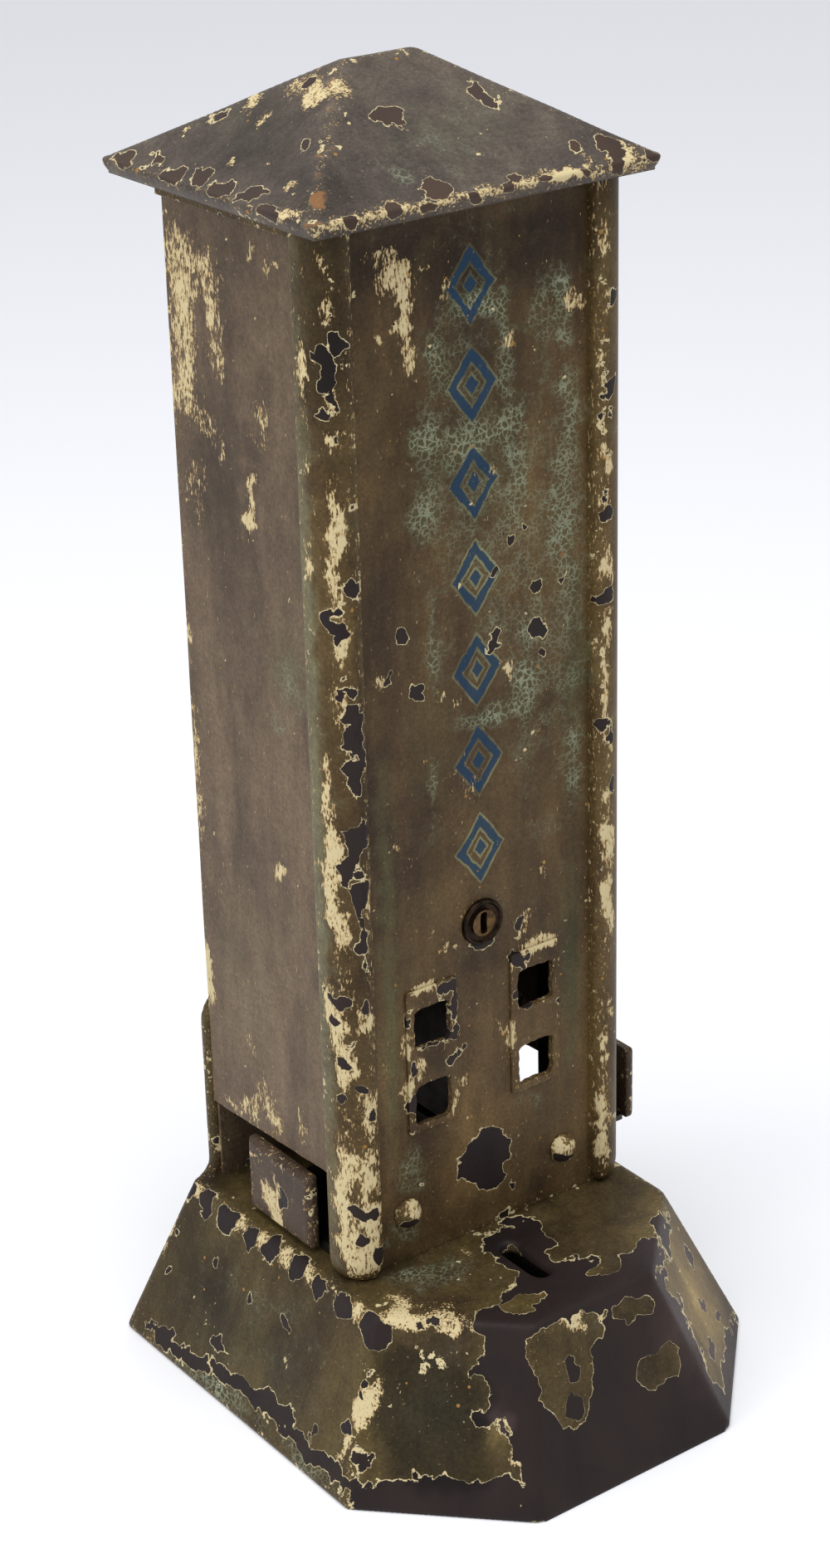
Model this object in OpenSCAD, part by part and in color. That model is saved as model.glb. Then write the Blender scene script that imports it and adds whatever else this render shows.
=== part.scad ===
// Counter-top match box dispenser: cast base, sheet tower, lift-off hipped roof,
// a two-way shuttle that pushes out the lowest box, and a coin release in the base.
// Millimetres, +Z up, front towards -Y. The origin is under the middle of the base.

/* [Base] */
// Width of the base at the table
base_bottom_w = 160; // [150:1:180]
// Depth of the base at the table
base_bottom_d = 168; // [160:1:190]
// Width of the deck on top of the base
base_top_w = 117; // [112:1:130]
// Distance from the table's front edge of the base back to the deck's front edge
base_front_flare = 20; // [14:1:26]
// Distance from the table's rear edge of the base forward to the deck's rear edge
base_rear_flare = 10.5; // [6:0.5:12]
// Height of the deck above the table
deck_z = 53.5; // [46:0.5:62]
// Chamfer of the front corners at the table
base_bottom_chamfer = 42; // [34:1:48]
// Chamfer of the front corners at the deck
base_top_chamfer = 35; // [28:1:40]
// Rounding of the casting's edges
base_round = 3; // [2:0.5:6]
// Wall of the casting
base_wall = 4; // [3:0.5:6]
// Thickness of the rear lug
lug_t = 4.5; // [3:0.5:4.5]
// Height of the rear lug above the deck
lug_h = 68; // [50:1:90]
// Corner radius of the rear lug
lug_round = 12; // [6:1:18]
// Fillet at the foot of the rear lug
lug_fillet = 6; // [3:0.5:8]

/* [Coin slot and release] */
// Length of the coin slot
slot_len = 20; // [18:0.5:24]
// Width of the coin slot
slot_w = 4.5; // [4.2:0.1:6]
// Sideways place of the coin slot
slot_x = -2.3; // [-6:0.1:6]
// Distance from the front panel forward to the middle of the slot
slot_reach = 22.5; // [18:0.5:28]
// Height of the coin chute
chute_h = 16; // [12:1:16]
// Height of the coin lever's pivot above the table
pivot_z = 38; // [34:0.5:40]
// Distance from the shuttle's middle line back to the pivot
pivot_reach = 22; // [18:0.5:24]
// Radius of the pivot pin
pivot_r = 2; // [1.5:0.1:2.5]
// Thickness of the coin lever
lever_t = 4; // [3:0.5:5]
// Height of the coin lever's tray above the table
tray_z = 17; // [13:0.5:19]
// Thickness of the coin lever's tray
tray_t = 2; // [1.5:0.1:2.5]
// Radius of the counterweight
weight_r = 6; // [5:0.5:7]

/* [Tower] */
// Width across the side panels
tower_w = 100; // [94:1:104]
// Depth from the front panel's face to the back panel's face
tower_d = 78.5; // [74:0.5:80]
// Distance from the deck's rear edge forward to the back panel's face
tower_rear_set = 5; // [4.5:0.1:8]
// Height of the tower's top edge above the table
tower_top = 383.6; // [340:0.1:420]
// Thickness of the sheet
sheet = 1.2; // [1:0.1:1.6]
// Height of the exits above the deck at the front
exit_h_front = 32.5; // [31:0.5:36]
// Height of the exits above the deck at the rear
exit_h_rear = 28.5; // [28:0.5:34]
// How far the corner mouldings stand out from the panels
moulding_out = 4.5; // [3.5:0.1:5.5]
// Width of a corner moulding on the front
moulding_front = 12.4; // [11:0.1:14]
// Width of a corner moulding on the side
moulding_side = 15.1; // [13:0.1:17]
// Radius of a corner moulding's outer corner
moulding_r = 9; // [7:0.5:9.5]
// Radius of a corner moulding's edges
moulding_edge = 3; // [1.5:0.1:3]
// Height of the bands under the eaves
band_h = 5; // [3:0.5:8]
// Thickness of the bands under the eaves
band_t = 2; // [1.5:0.1:3]

/* [Windows, bolts and lock] */
// Side of a square window
window_s = 12.6; // [11:0.1:14]
// Height of the lower windows' middle above the table
window_low_z = 107; // [104:0.5:110]
// Height of the upper windows' middle above the table
window_high_z = 133.5; // [130:0.5:136]
// Width of a window plate
window_plate_w = 19; // [17:0.5:21]
// Height of a window plate
window_plate_h = 49; // [46:0.5:52]
// Thickness of a window plate
window_plate_t = 1; // [0.8:0.1:1.5]
// Distance from the middle line to a window's middle
window_x = 20; // [18:0.5:22]
// Distance from the middle line to a front bolt
bolt_x = 30.8; // [28:0.1:33]
// Height of the front bolts above the table
bolt_z = 70.5; // [68:0.5:73]
// Radius of a front bolt's dome
bolt_head_r = 5.2; // [4.5:0.1:6]
// Height of a front bolt's dome
bolt_head_h = 4; // [3:0.1:4.4]
// Radius of a front bolt's shank
bolt_r = 2.5; // [2:0.1:3]
// Height of the lock above the table
lock_z = 161.7; // [158:0.1:170]
// Radius of the lock's face
lock_face_r = 7.5; // [6.8:0.1:8.5]
// Radius of the lock's barrel
lock_barrel_r = 6; // [5.5:0.1:6.2]
// Radius of the lock's turning plug
lock_plug_r = 4.3; // [3.8:0.1:4.8]
// Reach of the lock's cam
cam_reach = 16; // [13:0.5:17]

/* [Roof] */
// Width across the eaves
eave_w = 120.4; // [116:0.1:130]
// Depth across the eaves
eave_d = 105.4; // [102:0.1:106]
// Overhang of the eaves in front of the front panel
eave_front = 11.5; // [9:0.5:14]
// Height of the turned-down lip
lip_h = 4.8; // [3.5:0.1:7]
// Rise from the lip to the ridge
roof_rise = 28.7; // [20:0.1:40]
// Length of the ridge
ridge_len = 26; // [18:1:34]
// Thickness of the roof's sheet
roof_t = 1.6; // [1.2:0.1:2]
// Depth of the collar inside the tower
collar_h = 7.6; // [5:0.1:9]

/* [Shuttle] */
// Travel of the shuttle
shuttle_travel = 26; // [22:1:28]
// Length over the outer faces of the push plates
shuttle_len = 133; // [131:1:134]
// Width of a push plate
plate_w = 34; // [30:0.5:38]
// Height of a push plate
plate_h = 26; // [23:0.5:26]
// Thickness of a push plate
plate_t = 4; // [3:0.5:5]
// Bevel around a push plate's face
plate_bevel = 1.5; // [0.8:0.1:2]
// Width of the shuttle's bar
bar_w = 30; // [26:1:32]
// Thickness of the shuttle's bar
bar_t = 2; // [1.6:0.1:2.5]
// Height of the pusher's top above the deck
pusher_h = 26.5; // [24:0.5:27]

/* [Clearances] */
// Gap between sliding faces
slide_gap = 0.3; // [0.2:0.05:0.5]
// Radial clearance of turning fits
turn_gap = 0.05; // [0.02:0.01:0.08]
// Radial clearance of screws in their holes
screw_gap = 0.05; // [0.02:0.01:0.1]
// Gap between the lift-off roof's collar and the tower
collar_gap = 0.4; // [0.3:0.05:0.8]

/* [Hidden] */
$fn = 48;

olive = "#4a4433";
brown = "#4a3d31";
iron = "#3c3830";
steel = "#8a8a86";
brass = "#8c7440";

// Base planes
base_front = -base_bottom_d / 2;
base_rear = base_bottom_d / 2;
deck_front = base_front + base_front_flare;
deck_rear = base_rear - base_rear_flare;
deck_under = deck_z - base_wall;
rim_h = 1.5;
cut = 1;

// Tower planes
half_w = tower_w / 2;
back_y = deck_rear - tower_rear_set;
front_y = back_y - tower_d;
inner_front = front_y + sheet;
inner_back = back_y - sheet;
inner_half = half_w - sheet;
flange = 10;
exit_front_z = deck_z + exit_h_front;
exit_rear_z = deck_z + exit_h_rear;

// How far the panels' edges stay back from the corner, to clear the moulding's inner curve
corner_in = moulding_r - moulding_out;
corner_room = moulding_r - sheet - slide_gap;
corner_trim = max(sheet, corner_in - sqrt(max(0, corner_room * corner_room - corner_in * corner_in)));

// Box columns, behind the corner mouldings' rear edge
moulding_rear = front_y - moulding_out + moulding_side;
column_set = 14.5;
guide_gap = 0.5;
column_front = max(front_y + column_set, moulding_rear + guide_gap);
guide_x = 33;
guide_w = 7;
guide_top = tower_top - collar_h - 2;
guide_bottom = exit_front_z + 2;

// Bottom plate and its bosses
plate_low = 2.5;
bottom_t = 1.5;
bottom_gap = 0.6;
boss_r = 5;
boss_side_set = 14;
boss_front_set = 42;
boss_rear_set = 13.5;
boss_x = base_top_w / 2 - boss_side_set;
boss_front_y = deck_front + boss_front_set;
boss_rear_y = deck_rear - boss_rear_set;
foot_screw_r = 2;
foot_screw_head_r = 4;
foot_screw_head_h = 2;
foot_screw_len = 12;

// Small countersunk screws
small_r = 1.5;
small_head_r = 2.8;

// Shuttle: rest is the right-hand end of the travel
shuttle_ahead = 8;
shuttle_y = (column_front + inner_back) / 2 - shuttle_ahead;
shuttle_mid = shuttle_travel / 2;
plate_left = shuttle_mid - shuttle_len / 2;
plate_right = shuttle_mid + shuttle_len / 2;
bar_z = deck_z + slide_gap;
bar_top = bar_z + bar_t;
plate_z = deck_z + 1.5;
tab_w = 20;
tab_h = 18;
plate_screw_dy = 6;
plate_screw_h = 10;
plate_screw_z = bar_top + plate_screw_h;
plate_screw_len = 4;
rail_w = 6;
rail_lip = 2;
lip_t = 1.2;
rail_end_gap = 1;
rail_half = min(-plate_left - plate_t, plate_right - plate_t - shuttle_travel) - rail_end_gap;
rail_z = bar_top + slide_gap;
rail_top = rail_z + lip_t;
rail_screw_x = 34;
divider_gap = 0.6;
pusher_t = 1.5;
pusher_low = rail_top + 0.5;
pusher_left = -divider_gap;
pusher_right = divider_gap + shuttle_travel;
pusher_front = column_front + 1;
pusher_rear = inner_back - 4;
pusher_foot_w = bar_w - 2 * rail_lip - 2;
rivet_dx = 5;
divider_low = deck_z + pusher_h + 3;

// Coin slot, chute and lever
slot_y = front_y - slot_reach;
chute_wall = 1.2;
chute_flange = 7;
chute_room = 0.6;
pivot_y = shuttle_y + pivot_reach;
nose_w = 5;
nose_top = deck_z - slide_gap - 0.1;
nose_sweep = 3;
lever_w = 6;
boss_lever_r = 6;
ear_t = 2;
ear_gap = 0.3;
bracket_t = 2;
bracket_half = 13;
bracket_d = 12;
bracket_screw_dx = 9.5;
tray_w = 18;
tray_over = 4;
tray_len = slot_len + 2 * tray_over;
weight_len = 7;
weight_room = 1.5;
weight_y = pivot_y + bracket_d / 2 + weight_r + weight_room;
arm_end = 3;

// Front foot bracket and bolts
foot_t = 2.5;
foot_half = 40;
foot_h = 26;
foot_d = column_front - inner_front - 1;
foot_screw_x = 18;
nut_t = 3;
bolt_nut_r = 4.6;
lug_over = 1;
lug_half = half_w + lug_over;
lug_screw_x = 32;
lug_screw_h = 46;
lug_screw_z = deck_z + lug_screw_h;
lug_head_r = 4;
lug_head_h = 2.6;

// Lock
lock_face_t = 1.5;
lock_depth = 8;
lock_back_y = inner_front + lock_depth;
lock_nut_t = 2;
lock_nut_r = 9.8;
cam_t = 1.5;
cam_w = 8;
cam_screw_head_r = 3;
cam_screw_head_h = 2;
cam_screw_r = 1.5;
keyway_w = 1.8;
keyway_h = 6;
keyway_d = 7;

// Roof
eave_y0 = front_y - eave_front;
eave_y1 = eave_y0 + eave_d;
eave_mid = (eave_y0 + eave_y1) / 2;
soffit_gap = 0.1;
collar_half = inner_half - sheet - collar_gap;
strap_t = 1.5;
strap_x = cam_reach + 3;
strap_y0 = inner_front + lock_nut_t + 1;
strap_w = 9;
strap_foot_z = lock_z - cam_w / 2 - 5.7;
strap_foot_x = lock_barrel_r + 2;
strap_flange = 15;
strap_rivet_pitch = 7;
rivet_r = 1.5;
rivet_head_r = 2.5;
rivet_head_h = 1.2;
strap_rivet_x = [for (i = [0, 1]) strap_x + strap_t + rivet_head_r + 1 + i * strap_rivet_pitch];

// Box between two opposite corners
module block(low, high) {
    translate(low)
        cube(high - low);
}

// Copies a shape made for the right-hand side to the given side
module on_side(side) {
    if (side < 0)
        mirror([1, 0, 0]) children();
    else
        children();
}

// Rod along +X or +Y from a starting point
module rod_x(at, r, len) {
    translate(at)
        rotate([0, 90, 0]) cylinder(r = r, h = len);
}
module rod_y(at, r, len) {
    translate(at)
        rotate([-90, 0, 0]) cylinder(r = r, h = len);
}

// Dome of base radius r and height h, standing on z = 0
module dome(r, h) {
    ball = (r * r + h * h) / (2 * h);
    intersection() {
        translate([0, 0, h - ball]) sphere(r = ball);
        translate([-r - cut, -r - cut, 0]) cube([2 * (r + cut), 2 * (r + cut), h + cut]);
    }
}

// Countersunk screw with its head's flat face at z = 0, pointing down
module flat_screw(r, head_r, len) {
    translate([0, 0, -(head_r - r)]) cylinder(r1 = r, r2 = head_r, h = head_r - r);
    translate([0, 0, -len]) cylinder(r = r, h = len);
}

// Hole that takes that screw, open above
module flat_screw_hole(r, head_r, len) {
    translate([0, 0, -(head_r - r)])
        cylinder(r1 = r + screw_gap, r2 = head_r + screw_gap, h = head_r - r);
    translate([0, 0, -len]) cylinder(r = r + screw_gap, h = len);
    cylinder(r = head_r + screw_gap, h = cut);
}

// Plan of the base, drawn in by inset: square at the rear, chamfered at the front
function base_plan(w, front, rear, chamfer, inset) =
    let (x = w / 2, k = (sqrt(2) - 1) * inset)
    [
        [x - inset, rear - inset],
        [x - inset, front + chamfer + k],
        [x - chamfer - k, front + inset],
        [-x + chamfer + k, front + inset],
        [-x + inset, front + chamfer + k],
        [-x + inset, rear - inset]
    ];
function bottom_plan(inset) = base_plan(base_bottom_w, base_front, base_rear, base_bottom_chamfer, inset);
function deck_plan(inset) = base_plan(base_top_w, deck_front, deck_rear, base_top_chamfer, inset);

// Plan of the cavity's wall at a height, drawn in by a gap
function cavity_plan(z, gap) =
    let (low = bottom_plan(base_wall + gap), high = deck_plan(base_wall + gap))
    [for (i = [0:len(low) - 1]) low[i] + (high[i] - low[i]) * z / deck_under];

boss_places = [for (x = [-boss_x, boss_x], y = [boss_front_y, boss_rear_y]) [x, y]];
rail_screw_y = bar_w / 2 + slide_gap + rail_w / 2 + 0.5;
rail_screw_places = [for (x = [-rail_screw_x, rail_screw_x], s = [-1, 1]) [x, shuttle_y + s * rail_screw_y]];
foot_screw_y = inner_front + foot_d / 2 + 1;
chute_screw_dx = slot_w / 2 + chute_room + chute_wall + chute_flange / 2;

module lug_outline() {
    top = lug_h - lug_round;
    translate([-lug_half, -cut]) square([2 * lug_half, top + cut]);
    translate([-lug_half + lug_round, 0]) square([2 * (lug_half - lug_round), lug_h]);
    for (s = [-1, 1])
        translate([s * (lug_half - lug_round), top]) circle(r = lug_round);
    for (s = [-1, 1])
        difference() {
            translate([s * lug_half - (s < 0 ? lug_fillet : 0), -cut]) square([lug_fillet, lug_fillet + cut]);
            translate([s * (lug_half + lug_fillet), lug_fillet]) circle(r = lug_fillet);
        }
}

module base_casting() color(iron) {
    difference() {
        union() {
            difference() {
                hull() {
                    for (p = bottom_plan(base_round))
                        translate([p[0], p[1], 0]) cylinder(r = base_round, h = rim_h, $fn = 32);
                    for (p = deck_plan(base_round))
                        translate([p[0], p[1], deck_z - base_round]) sphere(r = base_round, $fn = 32);
                }
                hull() {
                    translate([0, 0, -cut]) linear_extrude(cut) polygon(bottom_plan(base_wall));
                    translate([0, 0, deck_under - 0.1]) linear_extrude(0.1) polygon(deck_plan(base_wall));
                }
            }
            for (p = boss_places)
                translate([p[0], p[1], plate_low + bottom_t])
                    cylinder(r = boss_r, h = deck_under - plate_low - bottom_t + cut);
            translate([0, back_y + lug_t, deck_z])
                rotate([90, 0, 0]) linear_extrude(lug_t) lug_outline();
        }
        for (y = [-1, 1])
            translate([slot_x, slot_y + y * (slot_len - slot_w) / 2, deck_under - cut])
                cylinder(r = slot_w / 2, h = base_wall + 2 * cut);
        translate([slot_x - slot_w / 2, slot_y - (slot_len - slot_w) / 2, deck_under - cut])
            cube([slot_w, slot_len - slot_w, base_wall + 2 * cut]);
        translate([slot_x - lever_t / 2 - 1, shuttle_y - nose_w / 2 - nose_sweep, deck_under - cut])
            cube([lever_t + 2, nose_w + 2 * nose_sweep, base_wall + 2 * cut]);
        for (p = boss_places)
            translate([p[0], p[1], plate_low + bottom_t - cut])
                cylinder(r = foot_screw_r + screw_gap, h = foot_screw_len + cut);
        for (p = rail_screw_places)
            translate([p[0], p[1], deck_under - cut])
                cylinder(r = small_r + screw_gap, h = base_wall + 2 * cut);
        for (x = [-foot_screw_x, foot_screw_x])
            translate([x, foot_screw_y, deck_under - cut])
                cylinder(r = small_r + screw_gap, h = base_wall + 2 * cut);
        for (s = [-1, 1])
            translate([slot_x + s * chute_screw_dx, slot_y, deck_under - cut])
                cylinder(r = small_r + screw_gap, h = base_wall - 1 + cut);
        for (s = [-1, 1])
            translate([slot_x + s * bracket_screw_dx, pivot_y, deck_under - cut])
                cylinder(r = small_r + screw_gap, h = base_wall - 1 + cut);
        for (x = [-lug_screw_x, lug_screw_x])
            rod_y([x, back_y - cut, lug_screw_z], bolt_r + screw_gap, lug_t + 2 * cut);
    }
}

module bottom_plate() color(steel) difference() {
    translate([0, 0, plate_low])
        linear_extrude(bottom_t) polygon(cavity_plan(plate_low + bottom_t, bottom_gap));
    for (p = boss_places)
        translate([p[0], p[1], plate_low - cut])
            cylinder(r = foot_screw_r + screw_gap, h = bottom_t + 2 * cut);
}

module bottom_plate_screws() color(steel)
    for (p = boss_places)
        translate([p[0], p[1], plate_low]) {
            translate([0, 0, -foot_screw_head_h]) cylinder(r = foot_screw_head_r, h = foot_screw_head_h);
            translate([0, 0, -cut]) cylinder(r = foot_screw_r, h = foot_screw_len + cut);
        }

module coin_chute() color(steel) {
    half_in = slot_w / 2 + chute_room;
    half_out = half_in + chute_wall;
    end_in = slot_len / 2 + chute_room;
    end_out = end_in + chute_wall;
    low = deck_under - chute_h;
    translate([slot_x, slot_y, 0])
        difference() {
            union() {
                block([-half_out, -end_out, low], [half_out, end_out, deck_under]);
                block([-half_out - chute_flange, -chute_flange, deck_under - chute_wall],
                      [half_out + chute_flange, chute_flange, deck_under]);
            }
            block([-half_in, -end_in, low - cut], [half_in, end_in, deck_under + cut]);
            for (s = [-1, 1])
                translate([s * chute_screw_dx, 0, deck_under - chute_wall - cut])
                    cylinder(r = small_r + screw_gap, h = chute_wall + 2 * cut);
        }
}

// Pan-headed screw pointing up, its head's seat at z = 0
module pan_screw_up(r, head_r, head_h, len) {
    translate([0, 0, -head_h]) cylinder(r = head_r, h = head_h);
    translate([0, 0, -cut]) cylinder(r = r, h = len + cut);
}

module chute_screws() color(steel)
    for (s = [-1, 1])
        translate([slot_x + s * chute_screw_dx, slot_y, deck_under - chute_wall])
            pan_screw_up(small_r, small_head_r, small_r, chute_wall + base_wall - 1.5);

module pawl_bracket() color(steel) {
    ear_in = lever_t / 2 + ear_gap;
    difference() {
        union() {
            block([slot_x - bracket_half, pivot_y - bracket_d / 2, deck_under - bracket_t],
                  [slot_x + bracket_half, pivot_y + bracket_d / 2, deck_under]);
            for (s = [-1, 1])
                translate([slot_x + s * (ear_in + ear_t / 2) - ear_t / 2, pivot_y - bracket_d / 2, pivot_z - 5])
                    cube([ear_t, bracket_d, deck_under - pivot_z + 5]);
        }
        rod_x([slot_x - bracket_half, pivot_y, pivot_z], pivot_r + screw_gap, 2 * bracket_half);
        for (s = [-1, 1])
            translate([slot_x + s * bracket_screw_dx, pivot_y, deck_under - bracket_t - cut])
                cylinder(r = small_r + screw_gap, h = bracket_t + 2 * cut);
    }
}

module bracket_screws() color(steel)
    for (s = [-1, 1])
        translate([slot_x + s * bracket_screw_dx, pivot_y, deck_under - bracket_t])
            pan_screw_up(small_r, small_head_r, small_r, bracket_t + base_wall - 1.5);

module pawl_pin() color(steel) {
    half_pin = lever_t / 2 + ear_gap + ear_t;
    head_t = 1;
    rod_x([slot_x - half_pin - head_t, pivot_y, pivot_z], pivot_r, 2 * half_pin + 2 * head_t);
    rod_x([slot_x - half_pin - head_t, pivot_y, pivot_z], pivot_r + 1, head_t);
    rod_x([slot_x + half_pin, pivot_y, pivot_z], pivot_r + 1, head_t);
}

module window_holes(side, from, depth) {
    for (z = [window_low_z, window_high_z])
        translate([side * window_x - window_s / 2, from - cut, z - window_s / 2])
            cube([window_s, depth + 2 * cut, window_s]);
}

// Plan of the front panel, a shallow channel whose folded corners clear the mouldings
front_plan_right = [
    [half_w - corner_trim, front_y],
    [inner_half, front_y + corner_trim - sheet],
    [inner_half, inner_front + flange],
    [inner_half - sheet, inner_front + flange],
    [inner_half - sheet, inner_front]
];
front_plan_left = [for (i = [4:-1:0]) [-front_plan_right[i][0], front_plan_right[i][1]]];

module front_panel() color(brown) difference() {
    translate([0, 0, deck_z])
        linear_extrude(tower_top - deck_z) polygon(concat(front_plan_right, front_plan_left));
    block([-half_w, inner_front, deck_z - cut], [half_w, inner_front + flange + cut, exit_front_z]);
    for (s = [-1, 1])
        window_holes(s, front_y, sheet);
    rod_y([0, front_y - cut, lock_z], lock_barrel_r + screw_gap, sheet + 2 * cut);
    for (s = [-1, 1])
        rod_y([s * bolt_x, front_y - cut, bolt_z], bolt_r + screw_gap, sheet + 2 * cut);
}

module side_panel(side) color(brown) on_side(side)
    translate([inner_half, 0, 0])
        rotate([90, 0, 90]) linear_extrude(sheet)
            polygon([
                [front_y + corner_trim, exit_front_z],
                [back_y, exit_rear_z],
                [back_y, tower_top],
                [front_y + corner_trim, tower_top]
            ]);

module left_side_panel() side_panel(-1);
module right_side_panel() side_panel(1);

module back_panel() color(brown) difference() {
    union() {
        block([-inner_half, inner_back, deck_z], [inner_half, back_y, tower_top]);
        for (s = [-1, 1])
            on_side(s)
                block([inner_half - sheet, inner_back - flange, exit_front_z],
                      [inner_half, inner_back + sheet / 2, tower_top]);
    }
    for (x = [-lug_screw_x, lug_screw_x])
        rod_y([x, inner_back - cut, lug_screw_z], bolt_r + screw_gap, sheet + 2 * cut);
}

// Section of the right corner moulding, as a bent strip that meets both panels
arc_steps = 8;
function arc(cx, cy, r, from, to) =
    [for (i = [0:arc_steps]) let (a = from + (to - from) * i / arc_steps) [cx + r * cos(a), cy + r * sin(a)]];
moulding_x0 = half_w + moulding_out - moulding_front;
moulding_y0 = front_y - moulding_out;
moulding_edge_r = min(moulding_edge, moulding_front - moulding_r);
moulding_edge_x = half_w + moulding_out - moulding_edge_r;
moulding_edge_y = moulding_rear - moulding_edge_r;
moulding_cx = half_w + moulding_out - moulding_r;
moulding_cy = moulding_y0 + moulding_r;
moulding_outer = concat(
    [[moulding_x0, front_y]],
    arc(moulding_x0 + moulding_edge_r, moulding_y0 + moulding_edge_r, moulding_edge_r, 180, 270),
    arc(moulding_cx, moulding_cy, moulding_r, 270, 360),
    arc(moulding_edge_x, moulding_edge_y, moulding_edge_r, 0, 90),
    [[half_w, moulding_rear]]
);
moulding_inner = concat(
    [[half_w, moulding_rear - sheet]],
    arc(moulding_edge_x, moulding_edge_y, max(0.2, moulding_edge_r - sheet), 90, 0),
    arc(moulding_cx, moulding_cy, moulding_r - sheet, 360, 270),
    arc(moulding_x0 + moulding_edge_r, moulding_y0 + moulding_edge_r, max(0.2, moulding_edge_r - sheet), 270, 180),
    [[moulding_x0 + sheet, front_y]]
);

module corner_moulding(side) color(olive) on_side(side) {
    translate([0, 0, deck_z])
        linear_extrude(tower_top - deck_z) polygon(concat(moulding_outer, moulding_inner));
    translate([0, 0, deck_z])
        linear_extrude(sheet) difference() {
            polygon(concat(moulding_outer, [[half_w, front_y]]));
            translate([0, front_y]) square([half_w, tower_d]);
        }
}

module left_corner_moulding() corner_moulding(-1);
module right_corner_moulding() corner_moulding(1);

module window_plate(side) color(olive) difference() {
    mid_z = (window_low_z + window_high_z) / 2 + 2;
    translate([side * window_x - window_plate_w / 2, front_y - window_plate_t, mid_z - window_plate_h / 2])
        cube([window_plate_w, window_plate_t, window_plate_h]);
    window_holes(side, front_y - window_plate_t, window_plate_t);
}

module left_window_plate() window_plate(-1);
module right_window_plate() window_plate(1);

// Dome-headed bolt along +Y, its head's seat at y = 0
module dome_bolt(head_r, head_h, r, len) {
    rotate([90, 0, 0]) dome(head_r, head_h);
    rod_y([0, -cut, 0], r, len + cut);
}

module front_bolts() color(olive)
    for (s = [-1, 1])
        translate([s * bolt_x, front_y, bolt_z])
            dome_bolt(bolt_head_r, bolt_head_h, bolt_r, sheet + foot_t + nut_t);

module hex_nut_y(at, nut_r, bore_r, t) {
    translate(at)
        difference() {
            rotate([-90, 0, 0]) cylinder(r = nut_r, h = t, $fn = 6);
            rod_y([0, -cut, 0], bore_r, t + 2 * cut);
        }
}

module front_bolt_nuts() color(steel)
    for (s = [-1, 1])
        hex_nut_y([s * bolt_x, inner_front + foot_t, bolt_z], bolt_nut_r, bolt_r + screw_gap, nut_t);

module front_foot_bracket() color(steel) difference() {
    union() {
        block([-foot_half, inner_front, deck_z], [foot_half, inner_front + foot_t, deck_z + foot_h]);
        block([-foot_half, inner_front, deck_z], [foot_half, inner_front + foot_d, deck_z + foot_t]);
    }
    for (s = [-1, 1])
        rod_y([s * bolt_x, inner_front - cut, bolt_z], bolt_r + screw_gap, foot_t + 2 * cut);
    for (x = [-foot_screw_x, foot_screw_x])
        translate([x, foot_screw_y, deck_z + foot_t]) flat_screw_hole(small_r, small_head_r, foot_t + cut);
}

module foot_bracket_screws() color(steel)
    for (x = [-foot_screw_x, foot_screw_x])
        translate([x, foot_screw_y, deck_z + foot_t]) flat_screw(small_r, small_head_r, foot_t + base_wall);

module column_divider() color(steel) {
    block([-sheet / 2, column_front, divider_low], [sheet / 2, inner_back, guide_top]);
    block([-sheet / 2, inner_back - sheet, divider_low], [flange, inner_back, guide_top]);
}

module box_guide(side) color(steel) on_side(side) {
    block([guide_x, inner_front, guide_bottom], [guide_x + guide_w, inner_front + sheet, guide_top]);
    block([guide_x, inner_front, guide_bottom], [guide_x + sheet, column_front, guide_top]);
    block([guide_x, column_front - sheet, guide_bottom], [guide_x + guide_w, column_front, guide_top]);
}

module left_box_guide() box_guide(-1);
module right_box_guide() box_guide(1);

module side_top_bands() color(olive)
    for (s = [-1, 1])
        on_side(s)
            block([half_w, moulding_rear, tower_top - band_h], [half_w + band_t, back_y, tower_top]);

// Rail beside the shuttle's bar, with a lip over the bar's edge
module slide_rail(side) color(steel) difference() {
    near = bar_w / 2 + slide_gap;
    translate([-rail_half, shuttle_y, 0])
        rotate([90, 0, 90]) linear_extrude(2 * rail_half)
            polygon([
                [side * near, deck_z],
                [side * (near + rail_w), deck_z],
                [side * (near + rail_w), rail_top],
                [side * (near - rail_lip), rail_top],
                [side * (near - rail_lip), rail_z],
                [side * near, rail_z]
            ]);
    for (x = [-rail_screw_x, rail_screw_x])
        translate([x, shuttle_y + side * rail_screw_y, rail_top])
            flat_screw_hole(small_r, small_head_r, rail_top - deck_z + cut);
}

module front_slide_rail() slide_rail(-1);
module rear_slide_rail() slide_rail(1);

module rail_screws() color(steel)
    for (p = rail_screw_places)
        translate([p[0], p[1], rail_top]) flat_screw(small_r, small_head_r, rail_top - deck_z + base_wall);

module lock_barrel() color(brown) difference() {
    union() {
        rod_y([0, front_y - lock_face_t, lock_z], lock_face_r, lock_face_t);
        rod_y([0, front_y - lock_face_t, lock_z], lock_barrel_r, lock_back_y - front_y + lock_face_t);
    }
    rod_y([0, front_y - lock_face_t - cut, lock_z], lock_plug_r + turn_gap,
          lock_back_y - front_y + lock_face_t + 2 * cut);
}

module lock_nut() color(steel)
    hex_nut_y([0, inner_front, lock_z], lock_nut_r, lock_barrel_r + screw_gap, lock_nut_t);

module rear_lug_screws() color(steel)
    for (x = [-lug_screw_x, lug_screw_x])
        translate([x, back_y + lug_t, lug_screw_z])
            rotate([0, 0, 180]) dome_bolt(lug_head_r, lug_head_h, bolt_r, lug_t + sheet + nut_t);

module rear_lug_nuts() color(steel)
    for (x = [-lug_screw_x, lug_screw_x])
        hex_nut_y([x, inner_back - nut_t, lug_screw_z], bolt_nut_r, bolt_r + screw_gap, nut_t);

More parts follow.
